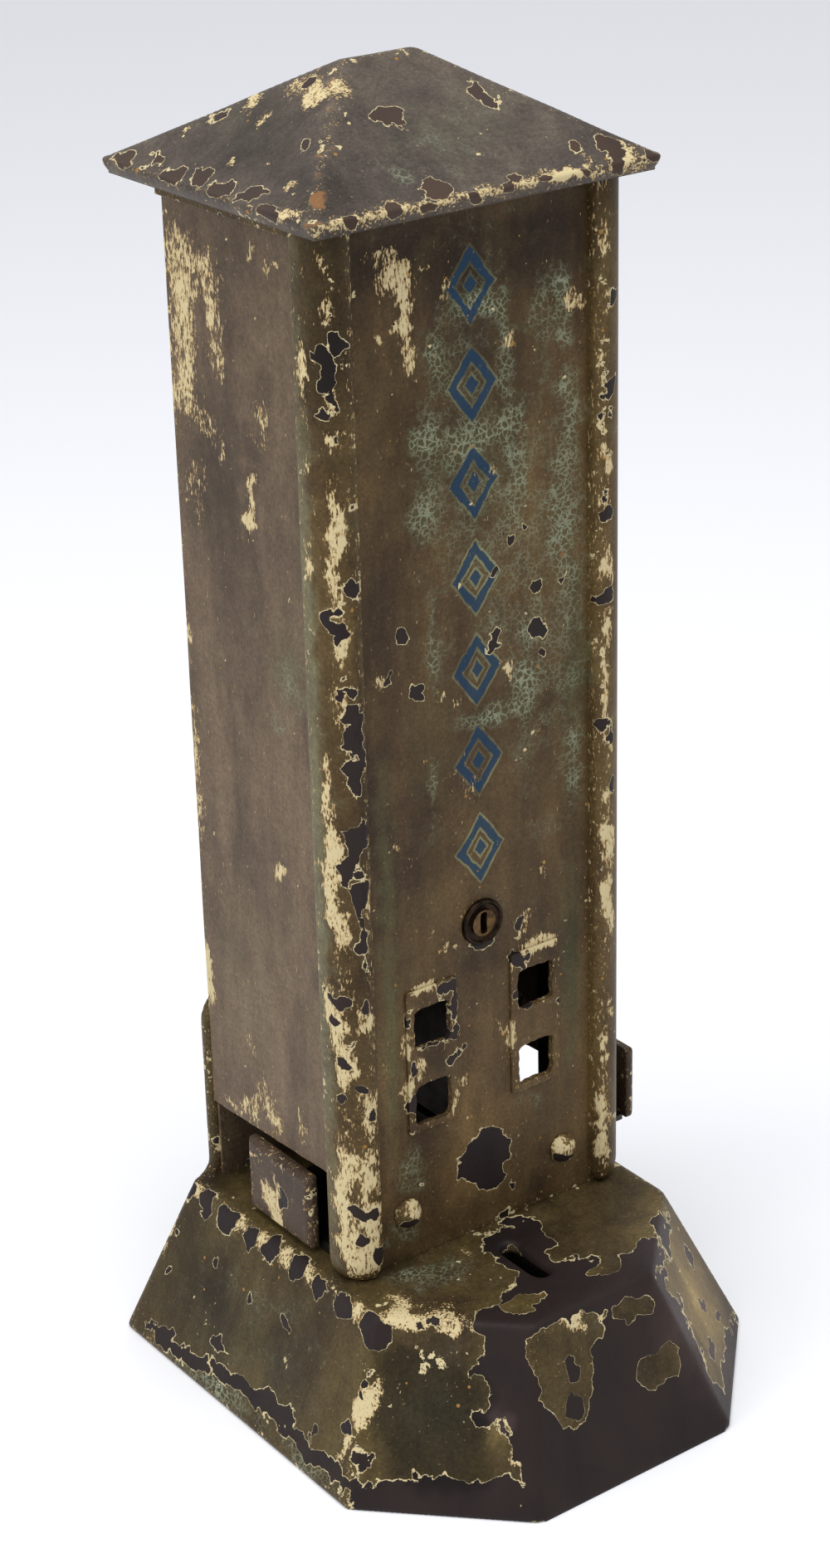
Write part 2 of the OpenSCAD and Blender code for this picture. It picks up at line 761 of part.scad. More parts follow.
module shuttle_bar() color(steel) difference() {
    left = plate_left + plate_t;
    right = plate_right - plate_t;
    union() {
        block([left, shuttle_y - bar_w / 2, bar_z], [right, shuttle_y + bar_w / 2, bar_top]);
        block([left, shuttle_y - tab_w / 2, bar_z], [left + bar_t, shuttle_y + tab_w / 2, bar_top + tab_h]);
        block([right - bar_t, shuttle_y - tab_w / 2, bar_z], [right, shuttle_y + tab_w / 2, bar_top + tab_h]);
    }
    for (x = [slot_x, slot_x + shuttle_travel])
        translate([x - lever_t / 2 - 1, shuttle_y - nose_w / 2 - nose_sweep, bar_z - cut])
            cube([lever_t + 2, nose_w + 2 * nose_sweep, bar_t + 2 * cut]);
    for (s = [-1, 1], y = [-plate_screw_dy, plate_screw_dy])
        translate([s < 0 ? left + bar_t : right - bar_t, shuttle_y + y, plate_screw_z])
            rotate([0, -90 * s, 0]) flat_screw_hole(small_r, small_head_r, bar_t + cut);
    for (s = [-1, 1])
        translate([shuttle_mid + s * rivet_dx, shuttle_y, bar_z - cut])
            cylinder(r = rivet_r + screw_gap, h = bar_t + 2 * cut);
}

module box_pusher() color(steel) difference() {
    foot_front = shuttle_y - pusher_foot_w / 2;
    foot_rear = shuttle_y + pusher_foot_w / 2;
    top = deck_z + pusher_h;
    union() {
        for (x = [pusher_left, pusher_right - pusher_t]) {
            block([x, pusher_front, pusher_low], [x + pusher_t, pusher_rear, top]);
            block([x, foot_front, bar_top], [x + pusher_t, foot_rear, top]);
        }
        block([pusher_left, pusher_front, top - pusher_t], [pusher_right, pusher_rear, top]);
        block([pusher_left, foot_front, bar_top], [pusher_right, foot_rear, bar_top + pusher_t]);
    }
    for (s = [-1, 1])
        translate([shuttle_mid + s * rivet_dx, shuttle_y, bar_top - cut])
            cylinder(r = rivet_r + screw_gap, h = pusher_t + 2 * cut);
}

// Push plate with a bevelled outer face; drawn for the right-hand end
module push_plate(inner_x, side) color(brown) difference() {
    y0 = shuttle_y - plate_w / 2;
    y1 = shuttle_y + plate_w / 2;
    b = plate_bevel;
    translate([inner_x, 0, 0])
        on_side(side)
            hull() {
                block([0, y0, plate_z], [plate_t - b, y1, plate_z + plate_h]);
                block([0, y0 + b, plate_z + b], [plate_t, y1 - b, plate_z + plate_h - b]);
            }
    for (y = [-plate_screw_dy, plate_screw_dy])
        translate([inner_x, shuttle_y + y, plate_screw_z])
            on_side(side) rod_x([-cut, 0, 0], small_r + screw_gap, plate_screw_len - bar_t + 0.5 + cut);
}

module left_push_plate() push_plate(plate_left + plate_t, -1);
module right_push_plate() push_plate(plate_right - plate_t, 1);

module push_plate_screws() color(steel)
    for (s = [-1, 1], y = [-plate_screw_dy, plate_screw_dy])
        translate([s < 0 ? plate_left + plate_t + bar_t : plate_right - plate_t - bar_t,
                   shuttle_y + y, plate_screw_z])
            rotate([0, -90 * s, 0]) flat_screw(small_r, small_head_r, plate_screw_len);

module pusher_rivets() color(steel)
    for (s = [-1, 1])
        translate([shuttle_mid + s * rivet_dx, shuttle_y, bar_z]) {
            cylinder(r = rivet_r, h = bar_t + pusher_t + cut / 2);
            translate([0, 0, bar_t + pusher_t]) dome(rivet_head_r, rivet_head_h);
        }

module lock_plug() color(brass) difference() {
    face = front_y - lock_face_t;
    rod_y([0, face, lock_z], lock_plug_r, lock_back_y - face);
    translate([-keyway_w / 2, face - cut, lock_z - keyway_h / 2]) cube([keyway_w, keyway_d + cut, keyway_h]);
    rod_y([0, lock_back_y - 5, lock_z], cam_screw_r + screw_gap, 5 + cut);
}

module lock_cam() color(steel) difference() {
    union() {
        rod_y([0, lock_back_y, lock_z], cam_w / 2 + 1, cam_t);
        block([-cam_w / 2, lock_back_y, lock_z], [cam_w / 2, lock_back_y + cam_t, lock_z + cam_reach]);
    }
    rod_y([0, lock_back_y - cut, lock_z], cam_screw_r + screw_gap, cam_t + 2 * cut);
}

module cam_screw() color(steel) {
    rod_y([0, lock_back_y - 4, lock_z], cam_screw_r, 4 + cam_t + cut);
    rod_y([0, lock_back_y + cam_t, lock_z], cam_screw_head_r, cam_screw_head_h);
}

// Closed hipped form: a lip of height h above z, then slopes up to a ridge
module hipped(half_x, y0, y1, z, h, rise, half_ridge) {
    mid = (y0 + y1) / 2;
    polyhedron(
        points = [
            [-half_x, y0, z], [half_x, y0, z], [half_x, y1, z], [-half_x, y1, z],
            [-half_x, y0, z + h], [half_x, y0, z + h], [half_x, y1, z + h], [-half_x, y1, z + h],
            [-half_ridge, mid, z + h + rise], [half_ridge, mid, z + h + rise]
        ],
        faces = [
            [0, 1, 2, 3], [0, 4, 5, 1], [1, 5, 6, 2], [2, 6, 7, 3], [3, 7, 4, 0],
            [4, 8, 9, 5], [5, 9, 6], [6, 9, 8, 7], [7, 8, 4]
        ]
    );
}

module roof_shell() color(iron) difference() {
    hipped(eave_w / 2, eave_y0, eave_y1, tower_top, lip_h, roof_rise, ridge_len / 2);
    translate([0, 0, -cut])
        hipped(eave_w / 2 - roof_t, eave_y0 + roof_t, eave_y1 - roof_t,
               tower_top, lip_h - roof_t / 2 + cut, roof_rise - roof_t / 2, ridge_len / 2);
}

module roof_soffit() color(iron) difference() {
    block([-eave_w / 2 + roof_t + soffit_gap, eave_y0 + roof_t + soffit_gap, tower_top],
          [eave_w / 2 - roof_t - soffit_gap, eave_y1 - roof_t - soffit_gap, tower_top + sheet]);
    for (x = strap_rivet_x)
        translate([x, strap_y0 + strap_w / 2, tower_top - cut])
            cylinder(r = rivet_r + screw_gap, h = sheet + 2 * cut);
}

module roof_collar() color(steel) difference() {
    low = tower_top - collar_h;
    block([-collar_half, inner_front + collar_gap, low], [collar_half, inner_back - collar_gap, tower_top]);
    block([-collar_half + sheet, inner_front + collar_gap + sheet, low - cut],
          [collar_half - sheet, inner_back - collar_gap - sheet, tower_top + cut]);
}

module hold_down_strap() color(steel) difference() {
    y1 = strap_y0 + strap_w;
    union() {
        block([strap_x, strap_y0, strap_foot_z], [strap_x + strap_t, y1, tower_top]);
        block([strap_foot_x, strap_y0, strap_foot_z], [strap_x + strap_t, y1, strap_foot_z + strap_t]);
        block([strap_x, strap_y0, tower_top - strap_t], [strap_x + strap_flange, y1, tower_top]);
    }
    for (x = strap_rivet_x)
        translate([x, strap_y0 + strap_w / 2, tower_top - strap_t - cut])
            cylinder(r = rivet_r + screw_gap, h = strap_t + 2 * cut);
}

module strap_rivets() color(steel)
    for (x = strap_rivet_x)
        translate([x, strap_y0 + strap_w / 2, tower_top - strap_t]) {
            cylinder(r = rivet_r, h = strap_t + sheet + cut / 2);
            translate([0, 0, strap_t + sheet]) dome(rivet_head_r, rivet_head_h);
            mirror([0, 0, 1]) dome(rivet_head_r, rivet_head_h);
        }

// Coin lever: boss on the pin, nose under the shuttle's bar, tray under the chute
module coin_pawl() color(steel) difference() {
    tray_rear = slot_y + tray_len / 2;
    nose_y = shuttle_y - nose_w / 2;
    union() {
        rod_x([slot_x - lever_t / 2, pivot_y, pivot_z], boss_lever_r, lever_t);
        translate([slot_x - lever_t / 2, 0, 0])
            rotate([90, 0, 90]) linear_extrude(lever_t)
                polygon([
                    [weight_y + arm_end, pivot_z - lever_w / 2],
                    [weight_y + arm_end, pivot_z + lever_w / 2],
                    [nose_y + nose_w, pivot_z + lever_w / 2],
                    [nose_y + nose_w, nose_top],
                    [nose_y, nose_top],
                    [nose_y, pivot_z + lever_w / 2],
                    [tray_rear, tray_z + tray_t + lever_w],
                    [slot_y - tray_len / 2, tray_z + tray_t],
                    [slot_y - tray_len / 2, tray_z],
                    [tray_rear, tray_z],
                    [nose_y, pivot_z - lever_w / 2]
                ]);
        translate([slot_x - tray_w / 2, slot_y - tray_len / 2, tray_z]) cube([tray_w, tray_len, tray_t]);
    }
    rod_x([slot_x - lever_t, pivot_y, pivot_z], pivot_r + turn_gap, 2 * lever_t);
    rod_x([slot_x - lever_t, weight_y, pivot_z], rivet_r + screw_gap, 2 * lever_t);
}

module pawl_counterweight() color(steel) {
    for (s = [-1, 1])
        on_side(s)
            rod_x([s * slot_x + lever_t / 2, weight_y, pivot_z], weight_r, weight_len);
    rod_x([slot_x - lever_t / 2 - cut, weight_y, pivot_z], rivet_r, lever_t + 2 * cut);
}

base_casting();
bottom_plate();
bottom_plate_screws();
coin_chute();
chute_screws();
pawl_bracket();
bracket_screws();
pawl_pin();
front_panel();
left_side_panel();
right_side_panel();
back_panel();
left_corner_moulding();
right_corner_moulding();
left_window_plate();
right_window_plate();
front_bolts();
front_bolt_nuts();
front_foot_bracket();
foot_bracket_screws();
column_divider();
left_box_guide();
right_box_guide();
side_top_bands();
front_slide_rail();
rear_slide_rail();
rail_screws();
lock_barrel();
lock_nut();
rear_lug_screws();
rear_lug_nuts();
shuttle_bar();
box_pusher();
left_push_plate();
right_push_plate();
push_plate_screws();
pusher_rivets();
lock_plug();
lock_cam();
cam_screw();
roof_shell();
roof_soffit();
roof_collar();
hold_down_strap();
strap_rivets();
coin_pawl();
pawl_counterweight();
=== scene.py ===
import math

import bmesh
import bpy
import numpy as np
from mathutils import Matrix, Vector, noise
from mathutils.geometry import delaunay_2d_cdt
from mathutils.kdtree import KDTree


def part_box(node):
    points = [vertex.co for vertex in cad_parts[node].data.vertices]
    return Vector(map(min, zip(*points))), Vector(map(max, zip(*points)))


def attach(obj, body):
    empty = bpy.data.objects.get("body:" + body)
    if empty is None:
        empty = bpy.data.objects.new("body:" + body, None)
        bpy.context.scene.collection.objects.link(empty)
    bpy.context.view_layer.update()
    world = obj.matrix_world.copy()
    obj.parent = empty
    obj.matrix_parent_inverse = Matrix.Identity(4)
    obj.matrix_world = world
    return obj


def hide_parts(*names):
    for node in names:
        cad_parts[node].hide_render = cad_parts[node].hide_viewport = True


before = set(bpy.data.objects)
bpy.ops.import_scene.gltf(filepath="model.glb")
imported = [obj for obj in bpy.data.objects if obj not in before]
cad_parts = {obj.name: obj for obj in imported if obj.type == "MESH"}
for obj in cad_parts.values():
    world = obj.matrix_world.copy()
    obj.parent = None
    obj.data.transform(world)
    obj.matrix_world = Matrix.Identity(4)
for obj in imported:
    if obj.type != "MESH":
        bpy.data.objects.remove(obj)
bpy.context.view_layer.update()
MM = 0.001


def size_of(node):
    """Low and high corners of a CAD node's box, in millimetres."""
    low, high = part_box(node)
    return np.array(low) / MM, np.array(high) / MM


# Sizes that several pieces share, in millimetres. Those that a box shows come from the frame.
TOWER_HALF, TOWER_BACK = size_of("right_side_panel")[1][:2]
TOWER_FRONT, DECK_Z = size_of("front_panel")[0][1:]
BASE_HALF_X, BASE_HALF_Y = size_of("base_casting")[1][:2]
DECK_HALF, DECK_FRONT = 58.5, -64.0
FOOT_CHAMFER, DECK_CHAMFER = 42.0, 35.0
MOULDING_LOW, MOULDING_HIGH = size_of("right_corner_moulding")
MOULDING_EDGE, MOULDING_CORNER = 3.0, 9.0
ROOF_LOW, ROOF_HIGH = size_of("roof_shell")
ROOF_LIP = 4.8
ROOF_RIDGE_HALF = 13.0
EAVES_Z = ROOF_LOW[2] + ROOF_LIP
ROOF_RISE = ROOF_HIGH[2] - EAVES_Z


# Camera: where the photograph was taken from, in millimetres and degrees
CAMERA_AT = (-514.3, -683.1, 594.4)
CAMERA_AZIMUTH = -36.1
CAMERA_ELEVATION = 24.53
CAMERA_ROLL = -1.52
FOCAL_PIXELS = 3782
IMAGE_HEIGHT = 1889
SENSOR = 36.0
NEAREST = 50.0


def set_camera():
    azimuth, elevation, roll = (math.radians(v) for v in (CAMERA_AZIMUTH, CAMERA_ELEVATION, CAMERA_ROLL))
    back = Vector((
        math.sin(azimuth) * math.cos(elevation),
        -math.cos(azimuth) * math.cos(elevation),
        math.sin(elevation),
    ))
    right = Vector((math.cos(azimuth), math.sin(azimuth), 0))
    up = back.cross(right)
    across = math.cos(roll) * right + math.sin(roll) * up
    upright = -math.sin(roll) * right + math.cos(roll) * up
    data = bpy.data.cameras.new("camera")
    data.sensor_width = SENSOR
    data.lens = SENSOR * FOCAL_PIXELS / IMAGE_HEIGHT
    data.clip_start = NEAREST * MM
    camera = bpy.data.objects.new("camera", data)
    turn = Matrix((across, upright, back)).transposed().to_4x4()
    camera.matrix_world = Matrix.Translation(Vector(CAMERA_AT) * MM) @ turn
    bpy.context.scene.collection.objects.link(camera)
    bpy.context.scene.camera = camera


# Colours and nodes
def linear(colour):
    """sRGB hex to linear RGBA."""
    parts = [int(colour[i:i + 2], 16) / 255 for i in (1, 3, 5)]
    return (*(p / 12.92 if p <= 0.04045 else ((p + 0.055) / 1.055) ** 2.4 for p in parts), 1.0)


def add(tree, kind, settings=(), links=()):
    """Adds a shader node of a kind, such as Math or Mix.

    A setting goes to the node's own property of that name, or else to the socket of that name or number.
    A link goes to a socket, from another socket or from a node's first output in use.
    """
    node = tree.nodes.new("ShaderNode" + kind)
    settings, links = dict(settings), dict(links)
    for key in [k for k in settings if isinstance(k, str) and hasattr(node, k)]:
        setattr(node, key, settings.pop(key))

    def socket(key):
        if isinstance(key, int):
            return node.inputs[key]
        return next(s for s in node.inputs if s.enabled and s.name == key)

    for key, value in settings.items():
        socket(key).default_value = value
    for key, source in links.items():
        if isinstance(source, bpy.types.Node):
            source = next(s for s in source.outputs if s.enabled)
        tree.links.new(source, socket(key))
    return node


def new_material(name):
    """A material with no nodes but the place on the object, in millimetres."""
    material = bpy.data.materials.new(name)
    material.use_nodes = True
    material.node_tree.nodes.clear()
    tree = material.node_tree
    here = add(tree, "TexCoord").outputs["Object"]
    at = add(tree, "VectorMath", {"operation": "SCALE", "Scale": 1 / MM}, {0: here})
    return material, tree, at


# Linseed oil paint, brushed on sheet and cast iron and gone old. The top coat is a satin brown to olive,
# stained in upright runs. Fine pale green crazing shows in patches. A cream undercoat shows as streaks where
# the top coat is rubbed, tan at their edges, and as a thin line round chips that go to the dark metal.
CREAM = "#c4b48a"
TAN = "#8f6934"
CRAZE = "#8a9078"
RUST = "#7a5636"

# Sizes of the paint's patterns in millimetres. Real brush marks and scratches are finer than these, which are
# drawn as coarse as they need to be to show.
TONE_SIZE, TONE_DRAW = 26.0, 0.4
MOTTLE_SIZE = 10.0
BRUSH_SIZE = 1.1
RUN_WIDTH, RUN_LENGTH = 6.0, 80.0
CRAZE_CELL = 2.1
CRAZE_BEND, CRAZE_BEND_SIZE = 3.2, 2.2
RUB_GRAIN = 2.8
SCRATCH_GRAIN = 0.7
CHIP_GRAIN = 7.0
SCALLOP_SIZE = 3.4
FLECK_SPACING = 4.6
PIT_SPACING = 5.2
COAT_STEP = 0.25

# Levels of the paint's patterns: how much of each goes into a layer, and where the layer starts and is full
GREEN_START, GREEN_FULL, GREEN_MOST = 0.5, 1.4, 0.8
BRUSH_DARK, BRUSH_LIGHT = 0.7, 1.3
STAIN_DARK, STAIN_LIGHT = 0.86, 1.14
DARKEST_DIRT_AND_SHADE = 0.45
CRAZE_PATCH, CRAZE_LEVEL = 2.2, -1.35
CRAZE_TINT = 0.6
CRACK_WIDTH, CRACK_WIDER = 0.07, 0.09
RUST_PART, RUST_START, RUST_FULL = 0.5, 0.78, 0.95
RUB_PART, RUB_LEVEL, SCRATCH_PART = 1.5, -0.75, 2.8
RUB_ON_EDGES, RUB_ON_PLACES = 0.3, 0.85
RUB_START, RUB_FULL, FRESH_FULL = 1.96, 2.0, 2.26
FLECK_ON_PLACES, FLECK_START, FLECK_FULL, FLECK_MOST = 0.35, 0.72, 0.95, 0.16
SCALLOP_PART, SCALLOP_LEVEL = -0.3, 0.15
CHIP_ON_EDGES, CHIP_ON_PLACES = 0.2, 0.45
CHIP_START, CHIP_FULL = 0.75, 0.756
PIT_START, PIT_MOST = 0.7, 0.13
RIM_PART, RIM_START, RIM_FULL = 0.3, 0.845, 0.855
STEP_PART = -0.6
BRUSH_ROUGH, RUB_ROUGH, LEAST_ROUGH = 0.2, 0.14, 0.1
WEAR_KINDS = ("cream", "bare", "craze", "green", "dark", "rust")


def paint_grain(tree, at):
    """Patterns that several layers of the paint share: slow drift, its tone, mottling and brush marks."""
    hung = add(tree, "VectorMath", {"operation": "MULTIPLY", 1: (1.0, 1.0, TONE_DRAW)}, {0: at})
    drift = add(
        tree, "TexNoise", {"Scale": 1 / TONE_SIZE, "Detail": 5.0, "Roughness": 0.62, "Distortion": 0.3},
        {"Vector": hung})
    tone = add(tree, "MapRange", {"From Min": 0.36, "From Max": 0.64}, {"Value": drift})
    mottle = add(tree, "TexNoise", {"Scale": 1 / MOTTLE_SIZE, "Detail": 8.0, "Roughness": 0.7},
                 {"Vector": at})
    brush = add(tree, "TexNoise", {"Scale": 1 / BRUSH_SIZE, "Detail": 3.0, "Roughness": 0.7}, {"Vector": at})
    return drift, tone, mottle, brush


def top_coat(tree, at, colours, grain, field):
    """Two browns that drift into each other, green in places, with stains, clouds, brush marks, dirt and
    painted shade.
    """
    _, tone, mottle, brush = grain
    light, deep, green = (linear(c) for c in colours)
    coat = add(tree, "Mix", {"data_type": "RGBA", "A": light, "B": deep}, {"Factor": tone})
    faded = add(tree, "Math", {"operation": "ADD"}, {0: field["green"], 1: mottle})
    faded = add(tree, "MapRange", {"From Min": GREEN_START, "From Max": GREEN_FULL, "To Max": GREEN_MOST},
                {"Value": faded})
    coat = add(tree, "Mix", {"data_type": "RGBA", "B": green}, {"Factor": faded, "A": coat})
    upright = add(tree, "VectorMath",
                  {"operation": "MULTIPLY", 1: (1 / RUN_WIDTH, 1 / RUN_WIDTH, 1 / RUN_LENGTH)}, {0: at})
    runs = add(tree, "TexNoise", {"Scale": 1.0, "Detail": 4.0, "Roughness": 0.6}, {"Vector": upright})
    shade = add(
        tree, "MapRange", {"From Min": 0.3, "From Max": 0.7, "To Min": BRUSH_DARK, "To Max": BRUSH_LIGHT},
        {"Value": brush})
    stain = add(
        tree, "MapRange", {"From Min": 0.3, "From Max": 0.7, "To Min": STAIN_DARK, "To Max": STAIN_LIGHT},
        {"Value": runs})
    cloud = add(
        tree, "MapRange", {"From Min": 0.35, "From Max": 0.65, "To Min": STAIN_DARK, "To Max": STAIN_LIGHT},
        {"Value": mottle})
    # The dark field darkens for dirt and painted shade, and below zero lightens for painted highlights and
    # reflections
    dirt_and_painted_light = add(tree, "MapRange", {"clamp": False, "To Min": 1.0, "To Max": DARKEST_DIRT_AND_SHADE}, {"Value": field["dark"]})
    for layer in (stain, cloud, dirt_and_painted_light):
        shade = add(tree, "Math", {"operation": "MULTIPLY"}, {0: shade, 1: layer})
    coat = add(tree, "Mix", {"data_type": "RGBA", "blend_type": "MULTIPLY", "Factor": 1.0},
               {"A": coat, "B": shade})
    return coat, dirt_and_painted_light


def crazing(tree, at, coat, green, mottle, field):
    """Thin pale green cracks in the top coat, wider where it is worst, on paint gone green."""
    bend = add(tree, "TexNoise", {"Scale": 1 / CRAZE_BEND_SIZE, "Detail": 4.0, "Roughness": 0.65},
               {"Vector": at})
    bent = add(tree, "VectorMath", {"operation": "MULTIPLY_ADD", 1: (CRAZE_BEND,) * 3},
               {0: bend.outputs["Color"], 2: at})
    cells = add(tree, "TexVoronoi", {"feature": "DISTANCE_TO_EDGE", "Scale": 1 / CRAZE_CELL},
                {"Vector": bent})
    patchy = add(tree, "Math", {"operation": "MULTIPLY_ADD", 1: CRAZE_PATCH, 2: CRAZE_LEVEL}, {0: mottle})
    area = add(tree, "Math", {"operation": "ADD", "use_clamp": True}, {0: field["craze"], 1: patchy})
    tint = add(tree, "Math", {"operation": "MULTIPLY", 1: CRAZE_TINT}, {0: area})
    coat = add(tree, "Mix", {"data_type": "RGBA", "B": linear(green)}, {"Factor": tint, "A": coat})
    width = add(tree, "Math", {"operation": "MULTIPLY_ADD", 1: CRACK_WIDER, 2: CRACK_WIDTH}, {0: area})
    lines = add(tree, "Math", {"operation": "DIVIDE"}, {0: cells, 1: width})
    lines = add(tree, "MapRange", {"To Min": 1.0, "To Max": 0.0}, {"Value": lines})
    lines = add(tree, "Math", {"operation": "MULTIPLY"}, {0: lines, 1: area})
    return add(tree, "Mix", {"data_type": "RGBA", "B": linear(CRAZE)}, {"Factor": lines, "A": coat})


def rust_stains(tree, coat, mottle, field):
    """Rust that has come through the paint."""
    stained = add(tree, "Math", {"operation": "MULTIPLY_ADD", 1: RUST_PART}, {0: field["rust"], 2: mottle})
    stained = add(tree, "MapRange", {"From Min": RUST_START, "From Max": RUST_FULL}, {"Value": stained})
    return add(tree, "Mix", {"data_type": "RGBA", "B": linear(RUST)}, {"Factor": stained, "A": coat})


# A row of painted lozenges runs up the front, each with a smaller one in its middle and a pale line round it
LOZENGE_LOW, LOZENGE_PITCH, LOZENGES = 172.0, 28.8, 7
LOZENGE_HALF_W, LOZENGE_HALF_H = 8.6, 11.2
LOZENGE_STROKE = 1.3
LOZENGE_MIDDLE = 1.9
LOZENGE_LINE = 0.65
LOZENGE_SOFT = 0.15
LOZENGE_RAGGED, LOZENGE_RAGGED_LEVEL = 3.6, -1.7
LOZENGE_COVER, LINE_COVER, LINE_WORN = 0.9, 0.65, 0.2
LOZENGE_BLUE = "#103049"
LOZENGE_EDGE = "#8d9068"


def lozenge_distance(tree, at, above, mottle):
    """How far outside the middle of the nearest stroke a place is, in millimetres, with a ragged edge."""
    x = add(tree, "SeparateXYZ", {}, {0: at}).outputs["X"]
    along = add(tree, "Math", {"operation": "PINGPONG", 1: LOZENGE_PITCH / 2}, {0: above})
    along = add(tree, "Math", {"operation": "SUBTRACT", 0: LOZENGE_PITCH / 2}, {1: along})
    across = add(tree, "Math", {"operation": "ABSOLUTE"}, {0: x})
    across = add(tree, "Math", {"operation": "DIVIDE", 1: LOZENGE_HALF_W}, {0: across})
    out = add(tree, "Math", {"operation": "MULTIPLY_ADD", 1: 1 / LOZENGE_HALF_H}, {0: along, 2: across})
    near = LOZENGE_HALF_W * LOZENGE_HALF_H / math.hypot(LOZENGE_HALF_W, LOZENGE_HALF_H)
    out = add(tree, "Math", {"operation": "MULTIPLY", 1: near}, {0: out})
    ring = add(tree, "Math", {"operation": "SUBTRACT", 1: near - LOZENGE_STROKE}, {0: out})
    ring = add(tree, "Math", {"operation": "ABSOLUTE"}, {0: ring})
    middle = add(tree, "Math", {"operation": "SUBTRACT", 1: LOZENGE_MIDDLE - LOZENGE_STROKE}, {0: out})
    off = add(tree, "Math", {"operation": "MINIMUM"}, {0: ring, 1: middle})
    ragged = add(tree, "Math", {"operation": "MULTIPLY_ADD", 1: LOZENGE_RAGGED, 2: LOZENGE_RAGGED_LEVEL},
                 {0: mottle})
    return add(tree, "Math", {"operation": "ADD"}, {0: off, 1: ragged})


def lozenge_row(tree, at, coat, drift, mottle):
    z = add(tree, "SeparateXYZ", {}, {0: at}).outputs["Z"]
    above = add(tree, "Math", {"operation": "SUBTRACT", 1: LOZENGE_LOW}, {0: z})
    off = lozenge_distance(tree, at, above, mottle)
    row_half = LOZENGES * LOZENGE_PITCH / 2
    in_row = add(tree, "Math", {"operation": "COMPARE", 1: row_half, 2: row_half}, {0: above})
    worn = add(tree, "MapRange", {"From Min": 0.42, "From Max": 0.58, "To Min": 1.0, "To Max": LINE_WORN},
               {"Value": drift})
    in_line = add(tree, "Math", {"operation": "MULTIPLY"}, {0: worn, 1: in_row})
    for colour, half, cover, where in (
        (LOZENGE_EDGE, LOZENGE_STROKE + LOZENGE_LINE, LINE_COVER, in_line),
        (LOZENGE_BLUE, LOZENGE_STROKE, LOZENGE_COVER, in_row),
    ):
        painted = add(tree, "MapRange", {"From Min": half - LOZENGE_SOFT, "From Max": half + LOZENGE_SOFT,
                                         "To Min": cover, "To Max": 0.0}, {"Value": off})
        painted = add(tree, "Math", {"operation": "MULTIPLY"}, {0: painted, 1: where})
        coat = add(tree, "Mix", {"data_type": "RGBA", "B": linear(colour)}, {"Factor": painted, "A": coat})
    return coat


def rubbed_areas(tree, at, field, rub, streak):
    """Where the undercoat shows, in upright streaks and small flecks, and how far in from a streak's edge."""
    drawn = add(tree, "VectorMath", {"operation": "MULTIPLY", 1: (1.0, 1.0, streak)}, {0: at})
    grain = add(
        tree, "TexNoise", {"Scale": 1 / RUB_GRAIN, "Detail": 6.0, "Roughness": 0.75, "Distortion": 0.2},
        {"Vector": drawn})
    scratch = add(tree, "TexNoise", {"Scale": 1 / SCRATCH_GRAIN, "Detail": 4.0, "Roughness": 0.7},
                  {"Vector": drawn})
    level = add(tree, "Math", {"operation": "MULTIPLY_ADD", 1: RUB_PART, 2: RUB_LEVEL}, {0: grain})
    level = add(tree, "Math", {"operation": "MULTIPLY_ADD", 1: SCRATCH_PART}, {0: scratch, 2: level})
    place = add(tree, "Math", {"operation": "MULTIPLY_ADD", 1: RUB_ON_EDGES},
                {0: field["edge"], 2: field["cream"]})
    level = add(tree, "Math", {"operation": "MULTIPLY_ADD", 1: RUB_ON_PLACES}, {0: place, 2: level})
    rubbed = add(tree, "MapRange", {"From Min": RUB_START - rub, "From Max": RUB_FULL - rub},
                 {"Value": level})
    fresh = add(tree, "MapRange", {"From Min": RUB_START - rub, "From Max": FRESH_FULL - rub},
                {"Value": level})
    flecks = add(tree, "TexVoronoi", {"feature": "F1", "Scale": 1 / FLECK_SPACING}, {"Vector": at})
    chance = add(tree, "Math", {"operation": "MULTIPLY_ADD", 1: FLECK_ON_PLACES},
                 {0: place, 2: flecks.outputs["Color"]})
    fleck_size = add(
        tree, "MapRange", {"From Min": FLECK_START, "From Max": FLECK_FULL, "To Max": FLECK_MOST},
        {"Value": chance})
    fleck = add(tree, "Math", {"operation": "LESS_THAN"}, {0: flecks.outputs["Distance"], 1: fleck_size})
    rubbed = add(tree, "Math", {"operation": "MAXIMUM"}, {0: rubbed, 1: fleck})
    return rubbed, fresh


